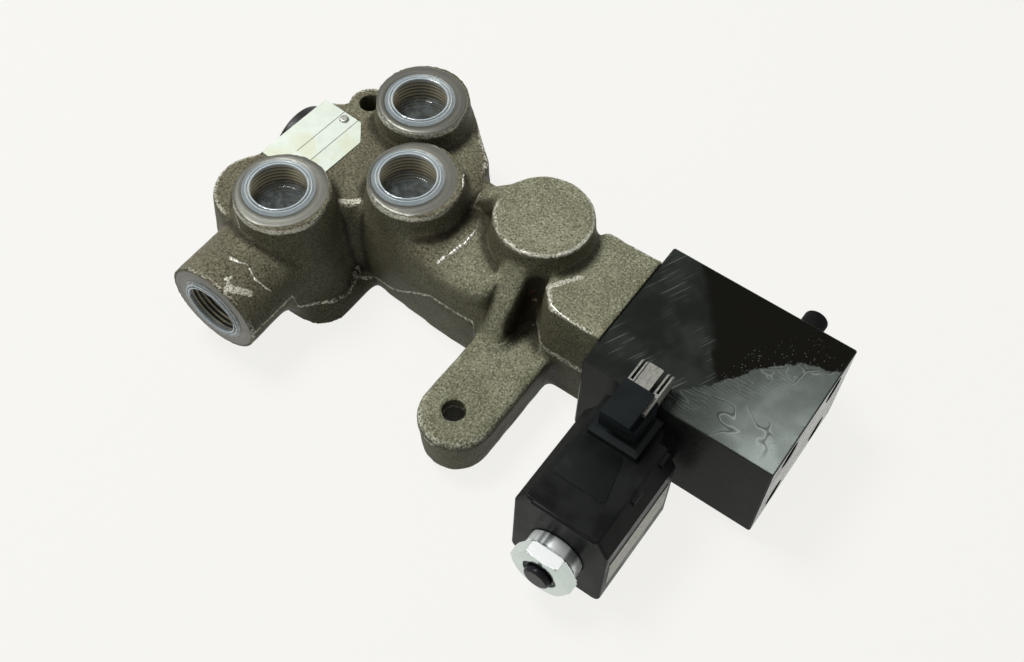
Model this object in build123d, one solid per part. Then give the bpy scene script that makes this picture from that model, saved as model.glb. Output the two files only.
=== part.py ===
from build123d import *
import math
import os

os.makedirs("parts", exist_ok=True)

# Trailer brake valve: an iron casting with four ports, and a steel block with a solenoid at its end.
# Millimetres. The origin is the middle of the lug's bolt hole, on the mounting plane.
# +X runs along the spool bore towards the solenoid block, +Z is up, ports 1 to 3 open upwards.

# Casting, overall
DRAFT = 5.0                      # moulding taper, in degrees, away from the parting plane
AXIS_Y, AXIS_Z = 63.0, 27.0      # spool bore axis; the parting plane is at its height
FLAT_TOP = 46.5                  # flat that carries the type plate
PORT_FACE = 57.8                 # machined faces of ports 1 to 3
EDGE_ROUND = 1.2                 # rounding of cast edges
BOLT_R = 4.5                     # mounting holes, clearance for M8

# Ports: machined centre, then the centre of the cast boss round it
PORT_1, BOSS_1 = (-84.0, 89.8), (-83.6, 91.2)
PORT_2, BOSS_2 = (-63.2, 55.4), (-60.6, 56.6)
PORT_3, BOSS_3 = (-99.2, 21.9), (-97.2, 21.5)
PORT_BOSS_R = 18.8
SIDE_PORT_X, SIDE_PORT_Z = -99.3, 27.3
SIDE_PORT_FACE_Y = -21.5
SIDE_PORT_BOSS_R = 20.0
THREAD_CORE_R = 12.05            # thread core radius, G 3/4
THREAD_DEPTH = 17.0
PORT_CHAMFER = 1.2
PASSAGE_R = 8.0
CROSS_R = 6.0                    # cross drilling from port 1 to the spool bore

# Housing outline at the parting plane
TIER_1_R = 22.6                  # round port 1
TIER_2_R = 20.8                  # round port 2
TIER_SIDE, TIER_SIDE_R = (-57.5, 82.5), 12.0
FRONT_WALL_R = 7.9               # corner discs of the wall that joins bosses 2 and 3
FRONT_WALL_IN = (-3.5, 3.6)      # how far those discs lie inside the boss centres
LOBE, LOBE_R = (-113.0, 23.5), 19.2
LEFT_FRONT, LEFT_BACK, LEFT_CORNER_R = (-120.7, 36.0), (-117.5, 71.8), 6.0
LEFT_INNER_R = 8.0
EAR, EAR_R, EAR_ROOT_R = (-106.4, 85.0), 10.6, 12.0
FOOT_X0, FOOT_X1 = -112.0, -69.4
FOOT_Y0, FOOT_Y1 = 6.8, 50.0
FOOT_CORNER_R = 14.0
FOOT_TOP = 8.5

# Tube between the ports and the neck
TUBE_X0, TUBE_X1 = -62.0, -12.5
TUBE_SHOULDER_X = -33.0          # where the front wall turns in towards boss 2
TUBE_AT_BOSS_R = 21.2
TUBE_FRONT_Y, TUBE_BACK_Y = 32.7, 83.5
TUBE_TOP = 44.5
WALL_CORNER_R = 4.0

# Neck, with the machined end face that the block seats on
NECK_END_X = 34.0
NECK_FRONT_Y, NECK_BACK_Y = 39.8, 87.2
NECK_LEFT = ((13.1, 43.9), (6.9, 50.6), (10.9, 83.1))   # corner discs of its left side
NECK_TOP = 50.7
FACING_STOCK = 8.0               # cast length that is machined off the neck
BORE_WALL = 4.5                  # iron round the spool bore between boss and neck

# Blank boss over the spool, its two gussets and the mounting lug
BLANK, BLANK_R, BLANK_TOP = (-9.8, 69.7), 19.6, 61.0
LUG_CENTRE, LUG_R, LUG_TOP = (1.2, 0.4), 15.4, 22.3
LUG_ROOT_Y = 55.0
LUG_EDGE = 2.5
RIB_X, RIB_WIDTH = -8.0, 12.5
RIB_HIGH_Y, RIB_HIGH_Z = 52.0, 57.3
RIB_LOW_Y, RIB_LOW_Z = 29.5, 20.0
GUSSET_ROUND = 3.5
WEB_WIDTH = 9.5
WEB_FAR, WEB_FAR_Z = (-40.5, 72.0), 51.0

# Main spool, its bore, its spring and the end cap
SPOOL_R = 9.0
RUN_GAP = 0.03                   # radial running gap of the spools
FIT_GAP = 0.02                   # radial gap of pieces that don't move
SEAT_GAP = 0.2                   # axial gap where a piece stops short of its seat
BORE_END_X = 20.0                # closed end of the spool bore
SPOOL_LEFT_X = -94.0
SPOOL_GROOVE_R = 5.5
SPOOL_GROOVES = ((-90.0, -76.0), (-71.0, -56.0), (-32.0, -30.5), (-10.0, -8.5))
SPOOL_NOSE_R, SPOOL_NOSE_LENGTH = 5.0, 8.0
SPRING_BORE_R, SPRING_BORE_X = 12.5, -96.0
MAIN_SPRING_R, MAIN_WIRE_R, MAIN_SPRING_TURNS = 7.7, 1.1, 4.0
CAP_R, CAP_THICK = 17.0, 5.5
CAP_FACE_X = -123.0
CAP_THREAD_R, CAP_THREAD_LENGTH = 14.5, 13.0
CAP_CUP_R, CAP_CUP_DEPTH = 10.5, 8.0
CAP_HEX, CAP_HEX_DEPTH = 12.0, 4.5
CAP_EDGE = 1.0
CAP_SEAL_R = 0.7
CAP_SEAL_SEAT = 1.6

# Plates, rivets and port plugs
PLATE_CENTRE, PLATE_TURN = (-109.6, 55.6), -3.5
PLATE_WIDTH, PLATE_LENGTH, PLATE_THICK = 26.5, 37.0, 0.5
PLATE_BACK_CORNER = (7.0, 8.0)
PLATE_FRONT_CORNER = (13.7, 8.8)
RIVET_HEAD_R, RIVET_HEAD = 2.0, 1.0
RIVET_SHANK_R, RIVET_LENGTH = 1.2, 5.0
RIVET_FROM_END = 3.2
PLUG_FLANGE_R, PLUG_FLANGE = 14.2, 0.7
PLUG_RING_R, PLUG_HEIGHT = 12.4, 1.1
PLUG_DEPTH, PLUG_WALL = 11.0, 1.2
PLUG_GAP = 0.1

# Solenoid block
BLOCK_LENGTH, BLOCK_DEPTH, BLOCK_HEIGHT = 78.0, 63.0, 45.0
BLOCK_TOP = 49.5
BLOCK_EDGE = 0.6
PILOT_HOLE = (58.0, 23.0)        # y and z of the pressure hole through the joint
DRAIN_HOLE = (70.0, 16.2)        # y and z of the drain hole, which meets the spring bore
GALLERY_R = 2.2
GALLERY_END_X = -100.0
JOINT_SEAL_R, JOINT_SEAL_RING_R = 0.85, 4.2
SCREW_Y, SCREW_Z = 16.5, 14.5    # block screws, either side of the spool bore axis
SCREW_R, SCREW_HOLE_R = 3.0, 3.3
SCREW_GRIP = 10.0                # thread length in the neck
SCREW_HEAD_R, SCREW_HEAD = 5.0, 6.0
SCREW_HEX, SCREW_HEX_DEPTH = 5.0, 3.0
COUNTERBORE_R, COUNTERBORE = 5.5, 6.6
NIPPLE_X, NIPPLE_Z = 92.3, 40.5
NIPPLE_R, NIPPLE_OUT = 3.0, 7.0
NIPPLE_THREAD_R, NIPPLE_THREAD = 4.0, 8.0
NIPPLE_BORE_R = 1.5
NIPPLE_CAP_R, NIPPLE_CAP_LENGTH, NIPPLE_CAP_EDGE = 4.8, 10.0, 1.2

# Solenoid: everything on one axis along Y, with its nut and button at the front
COIL_X, COIL_Z = 62.2, 20.6
COIL_LENGTH = 43.9
TUBE_HEX, TUBE_HEX_LENGTH = 24.0, 10.5   # hexagon of the tube between block and coil
HEAD_SIDES = (-14.5, 9.8)        # plastic that reaches back over the hexagon, under the tower
HEAD_Y1, HEAD_Z0 = 27.8, 33.4
COIL_WIDTH, COIL_BOTTOM_Z = 38.4, 0.4
SHOULDER_Z, COIL_TOP_Z = 37.5, 45.5
COIL_TOP_WIDTH = 29.0
COIL_LOW_ROUND, COIL_TOP_ROUND, COIL_END_ROUND = 3.0, 1.2, 1.0
TUBE_R, CORE_THREAD_R = 9.0, 7.5
BLOCK_THREAD_R, BLOCK_THREAD = 10.0, 10.0
CORE_OUT = 10.4                  # how far the tube's thread stands out of the coil
ARMATURE_R, ARMATURE_GAP = 6.5, 0.05
ARMATURE_LENGTH = 25.6
POLE_FACE_Y = 8.0
PILOT_STROKE = 2.2
BUTTON_R, BUTTON_OUT = 5.3, 2.3
BUTTON_DOME = 1.2
BUTTON_FLANGE_R, BUTTON_FLANGE = 6.3, 2.0
BUTTON_PIN_R = 3.0
LIP = 3.9                        # length of the tube's end lip that keeps the button in
PIN_R = 1.5
PILOT_R = 4.0
PILOT_SPOOL_Y0, PILOT_SPOOL_Y1 = 47.0, 76.0
PILOT_GROOVES = ((52.0, 56.0), (60.5, 67.0), (71.0, 73.0))
PILOT_GROOVE_R = 2.4
PILOT_BORE_END_Y = 84.0
PILOT_SPRING_R, PILOT_WIRE_R, PILOT_SPRING_TURNS = 2.9, 0.5, 3.0
NUT_FLATS, NUT_HEX, NUT_COLLAR_R, NUT_COLLAR = 22.0, 5.8, 10.8, 5.6
NUT_CHAMFER_R = 11.6
WINDING_R0, WINDING_R1 = 10.4, 16.4
YOKE_WIDTH, YOKE_END_WIDTH, YOKE_THICK = 16.0, 27.0, 2.4
YOKE_END_WALL = 2.8              # plastic over the yoke's end plates
YOKE_MID_Z = 20.6
YOKE_PROUD = 0.3                 # how far the yoke's sides stand out of the plastic
COIL_SEAL_R, COIL_SEAL_RING_R, COIL_SEAL_DEPTH = 0.95, 10.2, 1.9

# Connector on the coil; its sides are measured from the coil's axis
TOWER_SIDES = (-8.9, 2.9)
TOWER_Y0 = 11.3
TOWER_LIP, TOWER_LIP_OUT = 3.2, 1.8
POST_SIDES = (-9.6, 5.0)
POST_DROP = 4.1                  # how far the post ends below the tower's top
SKIRT_SIDES = (-11.6, 8.4)
SKIRT_Y0, SKIRT_Z = 9.8, 49.8
RAIL_LUG_SIDES = (10.2, 16.4)
RAIL_LUGS_Y = (-3.0, 14.6)
RAIL_LUG_LENGTH = 5.6
RAIL_LUG_SINK = 0.8              # how far the lugs' tops lie below the coil's flat top
BLADE_THICK, BLADE_HEIGHT = 0.7, 8.4
BLADE_FOLD = 2.4                 # overall thickness of a folded blade
BLADE_TIP_Y, BLADE_ROOT_Y = 39.8, 20.0
BLADE_SPLIT_Y = 29.5             # where the two leaves of a blade part
BLADES_AT = (-7.5, 2.9)          # the two folded blades, from the coil's axis
BLADE_CLEAR = 1.7                # from the block's top to the blades' low edge
BLADE_DROP = 10.3                # from the tower's top to the blades' low edge
EARTH_AT, EARTH_DROP = -2.85, 1.7
EARTH_TIP_Y = 38.6
EARTH_THICK, EARTH_WIDTH, EARTH_CORNER = 0.8, 5.9, 0.4
BLADE_POINT = 1.6

# Sizes that follow from the ones above
BLOCK_X1 = NECK_END_X + BLOCK_LENGTH
BLOCK_Y0, BLOCK_Y1 = AXIS_Y - BLOCK_DEPTH / 2, AXIS_Y + BLOCK_DEPTH / 2
COIL_BACK_Y = BLOCK_Y0 - TUBE_HEX_LENGTH
COIL_FRONT_Y = COIL_BACK_Y - COIL_LENGTH
CORE_END_Y = COIL_FRONT_Y - CORE_OUT
LIP_Y = CORE_END_Y + LIP
ARMATURE_Y1 = POLE_FACE_Y - PILOT_STROKE - SEAT_GAP
ARMATURE_Y0 = ARMATURE_Y1 - ARMATURE_LENGTH
NUT_END_Y = COIL_FRONT_Y - NUT_COLLAR - NUT_HEX
BUTTON_END_Y = NUT_END_Y - BUTTON_OUT
CAP_INNER_X = CAP_FACE_X + CAP_THREAD_LENGTH
CAP_CUP_X = CAP_INNER_X - CAP_CUP_DEPTH
CAP_END_X = CAP_FACE_X - CAP_THICK
YOKE_Y0 = COIL_FRONT_Y + YOKE_END_WALL
YOKE_Y1 = COIL_BACK_Y - YOKE_END_WALL
YOKE_HALF = COIL_WIDTH / 2 + YOKE_PROUD
BLADE_LOW_Z = BLOCK_TOP + BLADE_CLEAR
TOWER_TOP_Z = BLADE_LOW_Z + BLADE_DROP
POST_Z = TOWER_TOP_Z - POST_DROP
EARTH_X, EARTH_Z = COIL_X + EARTH_AT, TOWER_TOP_Z - EARTH_DROP

MIDDLE_LOW = (Align.CENTER, Align.CENTER, Align.MIN)


def box(x0, x1, y0, y1, z0, z1):
    """A block given by its limits."""
    middle = Pos((x0 + x1) / 2, (y0 + y1) / 2, (z0 + z1) / 2)
    return middle * Box(x1 - x0, y1 - y0, z1 - z0)


def rod_x(radius, x0, x1, y, z):
    """A round bar along X."""
    return Pos(x0, y, z) * Rot(0, 90, 0) * Cylinder(radius, x1 - x0, align=MIDDLE_LOW)


def rod_y(radius, y0, y1, x, z):
    """A round bar along Y."""
    return Pos(x, y0, z) * Rot(-90, 0, 0) * Cylinder(radius, y1 - y0, align=MIDDLE_LOW)


def rod_z(radius, z0, z1, centre):
    """A round bar along Z."""
    return Pos(centre[0], centre[1], z0) * Cylinder(radius, z1 - z0, align=MIDDLE_LOW)


def hexagon_x(flats, x0, x1, y, z):
    """A hexagonal bar along X."""
    outline = RegularPolygon(flats / 2, 6, major_radius=False)
    return Pos(x0, y, z) * Rot(0, 90, 0) * extrude(outline, x1 - x0)


def around(middle, width):
    """The two limits of a width about its middle."""
    return (middle - width / 2, middle + width / 2)


def on_coil(sides):
    """The two x limits of a feature whose sides are measured from the coil's axis."""
    return (COIL_X + sides[0], COIL_X + sides[1])


def taper_over(height):
    """How far a cast wall leans over a height."""
    return abs(height) * math.tan(math.radians(DRAFT))


def hull_of(discs):
    """The outline stretched round some discs, each given as a centre and a radius."""
    middle_x = sum(centre[0] for centre, _ in discs) / len(discs)
    middle_y = sum(centre[1] for centre, _ in discs) / len(discs)
    edges = []
    for centre, radius in discs:
        inward = math.degrees(math.atan2(middle_y - centre[1], middle_x - centre[0]))
        edges += (Pos(centre[0], centre[1]) * Rot(0, 0, inward) * Circle(radius)).edges()
    return make_hull(edges)


def tapered_hull(discs, wide_z, narrow_z):
    """A cast wall outline that narrows by the moulding taper from wide_z to narrow_z."""
    shrink = taper_over(narrow_z - wide_z)
    narrow = [(centre, radius - shrink) for centre, radius in discs]
    wide_face = Pos(0, 0, wide_z) * hull_of(discs)
    narrow_face = Pos(0, 0, narrow_z) * hull_of(narrow)
    return loft([wide_face, narrow_face], ruled=True)


def two_way(discs, top_z):
    """A cast solid from the mounting plane to top_z that tapers both ways from the parting plane."""
    return tapered_hull(discs, AXIS_Z, top_z) + tapered_hull(discs, AXIS_Z, 0.0)


def corners(x0, x1, y0, y1, radius):
    """The corner discs of a rounded rectangle."""
    xs = (x0 + radius, x1 - radius)
    ys = (y0 + radius, y1 - radius)
    return [((x, y), radius) for x in xs for y in ys]


def cast_boss(centre, top_r, top_z, low_z):
    """A round cast boss, wider towards low_z, with a rounded top edge."""
    height = top_z - low_z
    post = Cone(top_r + taper_over(height), top_r, height, align=MIDDLE_LOW)
    post = fillet(post.edges().group_by(Axis.Z)[-1], EDGE_ROUND)
    return Pos(centre[0], centre[1], low_z) * post


def moved_in(centre):
    """A boss centre moved to the inner side of the front wall."""
    return (centre[0] + FRONT_WALL_IN[0], centre[1] + FRONT_WALL_IN[1])


def port_end_shape():
    """The outer shape of the casting's end that holds the ports."""
    tier_discs = [(BOSS_1, TIER_1_R), (BOSS_2, TIER_2_R), (TIER_SIDE, TIER_SIDE_R)]
    tiers = two_way(tier_discs, FLAT_TOP)
    left = two_way(
        [
            (moved_in(BOSS_2), FRONT_WALL_R),
            (moved_in(BOSS_3), FRONT_WALL_R),
            (LEFT_FRONT, LEFT_CORNER_R),
            (LEFT_BACK, LEFT_CORNER_R),
            (BOSS_1, LEFT_INNER_R),
        ],
        FLAT_TOP,
    )
    lobe = two_way([(LOBE, LOBE_R), (moved_in(BOSS_3), FRONT_WALL_R)], FLAT_TOP)
    ear = two_way([(EAR, EAR_R), (BOSS_1, EAR_ROOT_R)], FLAT_TOP)
    foot_outline = corners(FOOT_X0, FOOT_X1, FOOT_Y0, FOOT_Y1, FOOT_CORNER_R)
    foot = tapered_hull(foot_outline, 0.0, FOOT_TOP)
    side = rod_y(SIDE_PORT_BOSS_R, SIDE_PORT_FACE_Y, BOSS_3[1], SIDE_PORT_X, SIDE_PORT_Z)
    side = fillet(side.edges().group_by(Axis.Y)[0], EDGE_ROUND)
    shape = tiers + left + lobe + ear
    shape += cast_boss(BOSS_1, PORT_BOSS_R, PORT_FACE, AXIS_Z)
    shape += cast_boss(BOSS_2, PORT_BOSS_R, PORT_FACE, AXIS_Z)
    shape += cast_boss(BOSS_3, PORT_BOSS_R, PORT_FACE, FOOT_TOP)
    return shape + foot + side


def gusset(width, points):
    """A sloping rib along local X, with a rounded back; points are its side profile."""
    profile = make_face(Plane.XZ * Polyline(*points, close=True))
    rib = extrude(profile, width / 2, both=True)
    sloping = [edge for edge in rib.edges() if 0.2 < abs(edge.tangent_at(0.5).Z) < 0.9]
    return fillet(sloping, GUSSET_ROUND)


def rib():
    """The gusset from the blank boss down to the lug."""
    low_z = LUG_TOP - LUG_EDGE - EDGE_ROUND
    reach = RIB_HIGH_Y - RIB_LOW_Y
    points = [(0, low_z), (0, RIB_HIGH_Z), (reach, RIB_LOW_Z), (reach, low_z)]
    return Pos(RIB_X, RIB_HIGH_Y, 0) * Rot(0, 0, -90) * gusset(RIB_WIDTH, points)


def web():
    """The gusset from the blank boss down to the tube."""
    across, along = WEB_FAR[1] - BLANK[1], WEB_FAR[0] - BLANK[0]
    reach = math.hypot(across, along)
    low_z = TUBE_TOP - 2 * GUSSET_ROUND
    flush_z = BLANK_TOP - FIT_GAP
    points = [(0, low_z), (0, flush_z), (BLANK_R, flush_z), (reach, WEB_FAR_Z), (reach, low_z)]
    turn = math.degrees(math.atan2(across, along))
    return Pos(*BLANK) * Rot(0, 0, turn) * gusset(WEB_WIDTH, points)


def bolt_end_shape():
    """The outer shape of the tube, the neck, the blank boss and the mounting lug."""
    tube_discs = corners(TUBE_SHOULDER_X, TUBE_X1, TUBE_FRONT_Y, TUBE_BACK_Y, WALL_CORNER_R)
    tube_discs.append((BOSS_2, TUBE_AT_BOSS_R))
    tube_discs.append(((TUBE_X0, TUBE_BACK_Y - WALL_CORNER_R), WALL_CORNER_R))
    tube = two_way(tube_discs, TUBE_TOP)
    long_neck = NECK_END_X + FACING_STOCK
    neck_discs = [(centre, WALL_CORNER_R) for centre in NECK_LEFT]
    right_x = long_neck - WALL_CORNER_R
    for y in (NECK_FRONT_Y + WALL_CORNER_R, NECK_BACK_Y - WALL_CORNER_R):
        neck_discs.append(((right_x, y), WALL_CORNER_R))
    neck = two_way(neck_discs, NECK_TOP)
    neck -= box(NECK_END_X, long_neck + 1, NECK_FRONT_Y - 9, NECK_BACK_Y + 9, -1, NECK_TOP + 1)
    blank = cast_boss(BLANK, BLANK_R, BLANK_TOP, AXIS_Z)
    blank_low_r = BLANK_R + taper_over(BLANK_TOP - AXIS_Z)
    blank += tapered_hull([(BLANK, blank_low_r)], AXIS_Z, 0.0)
    blank += rod_x(SPOOL_R + BORE_WALL, BLANK[0], NECK_END_X - 1, AXIS_Y, AXIS_Z)
    lug_discs = [(LUG_CENTRE, LUG_R), ((LUG_CENTRE[0], LUG_ROOT_Y), LUG_R)]
    lug = tapered_hull(lug_discs, LUG_TOP, 0.0)
    lug = fillet(lug.edges().group_by(Axis.Z)[-1], LUG_EDGE)
    return blank + tube + neck + lug + rib() + web()


def port_cut(depth_to_passage_end):
    """A port opening along +Z from its face at height 0: thread core, entry chamfer and passage."""
    bore = Pos(0, 0, -THREAD_DEPTH) * Cylinder(THREAD_CORE_R, THREAD_DEPTH, align=MIDDLE_LOW)
    entry = Pos(0, 0, -PORT_CHAMFER) * Cone(
        THREAD_CORE_R, THREAD_CORE_R + PORT_CHAMFER, PORT_CHAMFER, align=MIDDLE_LOW
    )
    low = Pos(0, 0, -depth_to_passage_end)
    passage = low * Cylinder(PASSAGE_R, depth_to_passage_end - THREAD_DEPTH + 1, align=MIDDLE_LOW)
    return bore + entry + passage


def valve_body():
    """The casting, one piece, with its ports, bores, passages and screw holes."""
    body = port_end_shape() + bolt_end_shape()
    for centre in (PORT_1, PORT_2, PORT_3):
        body -= Pos(centre[0], centre[1], PORT_FACE) * port_cut(PORT_FACE - AXIS_Z)
    side_depth = AXIS_Y - SIDE_PORT_FACE_Y
    body -= Pos(SIDE_PORT_X, SIDE_PORT_FACE_Y, SIDE_PORT_Z) * Rot(90, 0, 0) * port_cut(side_depth)
    body -= rod_y(CROSS_R, AXIS_Y, PORT_1[1], PORT_1[0], AXIS_Z)
    body -= rod_x(SPOOL_R, SPRING_BORE_X - 1, BORE_END_X, AXIS_Y, AXIS_Z)
    body -= rod_x(SPRING_BORE_R, CAP_INNER_X - 1, SPRING_BORE_X, AXIS_Y, AXIS_Z)
    body -= rod_x(CAP_R + 1.5, CAP_FACE_X - 20, CAP_FACE_X, AXIS_Y, AXIS_Z)
    body -= rod_x(CAP_THREAD_R, CAP_FACE_X - 1, CAP_INNER_X, AXIS_Y, AXIS_Z)
    seal_seat_r = CAP_THREAD_R + 2 * CAP_SEAL_R
    body -= rod_x(seal_seat_r, CAP_FACE_X - 1, CAP_FACE_X + CAP_SEAL_SEAT, AXIS_Y, AXIS_Z)
    body -= rod_z(BOLT_R, -1, LUG_TOP + 1, (0, 0))
    body -= rod_z(BOLT_R, -1, FLAT_TOP + 1, EAR)
    body -= rod_x(GALLERY_R, BORE_END_X - 1, NECK_END_X + 1, *PILOT_HOLE)
    body -= rod_x(GALLERY_R, GALLERY_END_X, NECK_END_X + 1, *DRAIN_HOLE)
    for y, z in screw_places():
        body -= rod_x(SCREW_R + FIT_GAP, NECK_END_X - SCREW_GRIP - 2, NECK_END_X + 1, y, z)
    for place in rivet_places():
        body -= place * rivet(FIT_GAP)
    return body


def screw_places():
    """The y and z of the four block screws."""
    return [(AXIS_Y + sy * SCREW_Y, AXIS_Z + sz * SCREW_Z) for sy in (-1, 1) for sz in (-1, 1)]


def plate_place():
    return Pos(PLATE_CENTRE[0], PLATE_CENTRE[1], FLAT_TOP) * Rot(0, 0, PLATE_TURN)


def rivet_places():
    """Two rivets, near the ends of the plate."""
    reach = PLATE_LENGTH / 2 - RIVET_FROM_END
    return [plate_place() * Pos(0, side * reach, PLATE_THICK) for side in (-1, 1)]


def type_plate():
    """The bare plate: a rectangle with its two right corners cut, and two rivet holes."""
    half_x, half_y = PLATE_WIDTH / 2, PLATE_LENGTH / 2
    back_x, back_y = PLATE_BACK_CORNER
    front_x, front_y = PLATE_FRONT_CORNER
    outline = Polyline(
        (-half_x, -half_y),
        (half_x - front_x, -half_y),
        (half_x, -half_y + front_y),
        (half_x, half_y - back_y),
        (half_x - back_x, half_y),
        (-half_x, half_y),
        close=True,
    )
    plate = plate_place() * extrude(make_face(outline), PLATE_THICK)
    for place in rivet_places():
        plate -= place * rivet(FIT_GAP)
    return plate


def rivet(grow=0.0):
    """A dome-headed rivet, its head seated at height 0; grow widens its shank for the hole."""
    shank = Pos(0, 0, -RIVET_LENGTH) * Cylinder(
        RIVET_SHANK_R + grow, RIVET_LENGTH + grow, align=MIDDLE_LOW
    )
    if grow:
        return shank
    head = Cylinder(RIVET_HEAD_R, RIVET_HEAD, align=MIDDLE_LOW)
    head = fillet(head.edges().group_by(Axis.Z)[-1], RIVET_HEAD * 0.8)
    return shank + head


def plate_rivets():
    return [place * rivet() for place in rivet_places()]


def port_plug():
    """A push-in plastic cup that closes a port, its flange seated at height 0."""
    outer_r = THREAD_CORE_R - PLUG_GAP
    cup = Pos(0, 0, -PLUG_DEPTH) * Cylinder(outer_r, PLUG_DEPTH, align=MIDDLE_LOW)
    flange = Cylinder(PLUG_FLANGE_R, PLUG_FLANGE, align=MIDDLE_LOW)
    ring = Cylinder(PLUG_RING_R, PLUG_HEIGHT, align=MIDDLE_LOW)
    ring = fillet(ring.edges().group_by(Axis.Z)[-1], (PLUG_HEIGHT - PLUG_FLANGE) / 2)
    hollow_r = outer_r - PLUG_WALL
    hollow = Pos(0, 0, PLUG_WALL - PLUG_DEPTH) * Cylinder(
        hollow_r, PLUG_DEPTH + PLUG_HEIGHT, align=MIDDLE_LOW
    )
    return cup + flange + ring - hollow


def port_plugs():
    """The four plugs, each in its port."""
    plugs = [Pos(x, y, PORT_FACE) * port_plug() for x, y in (PORT_1, PORT_2, PORT_3)]
    side_place = Pos(SIDE_PORT_X, SIDE_PORT_FACE_Y, SIDE_PORT_Z) * Rot(90, 0, 0)
    return plugs + [side_place * port_plug()]


def spool_end_cap():
    """The screwed cap at the spring end, with a cup for the spring and a hexagon socket."""
    head = rod_x(CAP_R, CAP_END_X, CAP_FACE_X, AXIS_Y, AXIS_Z)
    head = fillet(head.edges().group_by(Axis.X)[0], CAP_EDGE)
    thread = rod_x(CAP_THREAD_R - FIT_GAP, CAP_FACE_X, CAP_INNER_X, AXIS_Y, AXIS_Z)
    cup = rod_x(CAP_CUP_R, CAP_CUP_X, CAP_INNER_X + 1, AXIS_Y, AXIS_Z)
    socket = hexagon_x(CAP_HEX, CAP_END_X - 1, CAP_END_X + CAP_HEX_DEPTH, AXIS_Y, AXIS_Z)
    return head + thread - cup - socket


def end_cap_seal():
    """The ring that seals the cap, in its seat under the cap's head."""
    ring = Torus(CAP_THREAD_R + CAP_SEAL_R, CAP_SEAL_R - FIT_GAP)
    return Pos(CAP_FACE_X + CAP_SEAL_SEAT / 2, AXIS_Y, AXIS_Z) * Rot(0, 90, 0) * ring


def main_spool():
    """The main spool, with its grooves and the nose that guides the spring."""
    radius = SPOOL_R - RUN_GAP
    right_x = BORE_END_X - SEAT_GAP
    spool = rod_x(radius, SPOOL_LEFT_X, right_x, AXIS_Y, AXIS_Z)
    spool += rod_x(SPOOL_NOSE_R, SPOOL_LEFT_X - SPOOL_NOSE_LENGTH, SPOOL_LEFT_X, AXIS_Y, AXIS_Z)
    for x0, x1 in SPOOL_GROOVES:
        ring = rod_x(SPOOL_R + 1, x0, x1, AXIS_Y, AXIS_Z)
        spool -= ring - rod_x(SPOOL_GROOVE_R, x0, x1, AXIS_Y, AXIS_Z)
    return spool


def coil_spring(radius, wire_r, turns, length):
    """A helical spring along +Z from height 0, with its wire inside the given length."""
    height = length - 2 * wire_r
    path = Pos(0, 0, wire_r) * Helix(height / turns, height, radius)
    section = Plane(origin=path @ 0, z_dir=path % 0) * Circle(wire_r)
    return sweep(section, path)


def main_spring():
    """The spring between the cap and the main spool."""
    length = SPOOL_LEFT_X - CAP_CUP_X
    spring = coil_spring(MAIN_SPRING_R, MAIN_WIRE_R, MAIN_SPRING_TURNS, length)
    return Pos(CAP_CUP_X, AXIS_Y, AXIS_Z) * Rot(0, 90, 0) * spring


def solenoid_block():
    """The steel block: bores for the solenoid's tube and pilot spool, passages and screw holes."""
    block = box(NECK_END_X, BLOCK_X1, BLOCK_Y0, BLOCK_Y1, BLOCK_TOP - BLOCK_HEIGHT, BLOCK_TOP)
    block = chamfer(block.edges(), BLOCK_EDGE)
    block -= rod_y(BLOCK_THREAD_R, BLOCK_Y0 - 1, BLOCK_Y0 + BLOCK_THREAD, COIL_X, COIL_Z)
    block -= rod_y(PILOT_R + RUN_GAP, BLOCK_Y0, PILOT_BORE_END_Y, COIL_X, COIL_Z)
    for y, z in (PILOT_HOLE, DRAIN_HOLE):
        block -= rod_x(GALLERY_R, NECK_END_X - 1, COIL_X, y, z)
        seat_r = JOINT_SEAL_RING_R + JOINT_SEAL_R
        block -= rod_x(seat_r, NECK_END_X - 1, NECK_END_X + 2 * JOINT_SEAL_R, y, z)
    for y, z in screw_places():
        block -= rod_x(SCREW_HOLE_R, NECK_END_X - 1, BLOCK_X1 + 1, y, z)
        block -= rod_x(COUNTERBORE_R, BLOCK_X1 - COUNTERBORE, BLOCK_X1 + 1, y, z)
    thread_y0 = BLOCK_Y1 - NIPPLE_THREAD
    block -= rod_y(NIPPLE_THREAD_R, thread_y0, BLOCK_Y1 + 1, NIPPLE_X, NIPPLE_Z)
    start = Vector(NIPPLE_X, thread_y0 + NIPPLE_BORE_R, NIPPLE_Z)
    reach = Vector(COIL_X, PILOT_BORE_END_Y - 3 * NIPPLE_BORE_R, COIL_Z) - start
    slanting = Plane(origin=start, z_dir=reach) * Cylinder(
        NIPPLE_BORE_R, reach.length, align=MIDDLE_LOW
    )
    return block - slanting


def block_seals():
    """The two rings that seal the joint between block and neck."""
    ring = Torus(JOINT_SEAL_RING_R, JOINT_SEAL_R - FIT_GAP)
    seat_x = NECK_END_X + JOINT_SEAL_R
    return [Pos(seat_x, y, z) * Rot(0, 90, 0) * ring for y, z in (PILOT_HOLE, DRAIN_HOLE)]


def block_screw(y, z):
    """A socket head screw through the block into the neck."""
    seat_x = BLOCK_X1 - COUNTERBORE
    head = rod_x(SCREW_HEAD_R, seat_x, seat_x + SCREW_HEAD, y, z)
    shank = rod_x(SCREW_R, NECK_END_X - SCREW_GRIP, seat_x, y, z)
    head_end = seat_x + SCREW_HEAD
    return head + shank - hexagon_x(SCREW_HEX, head_end - SCREW_HEX_DEPTH, head_end + 1, y, z)


def block_screws():
    return [block_screw(y, z) for y, z in screw_places()]


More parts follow.
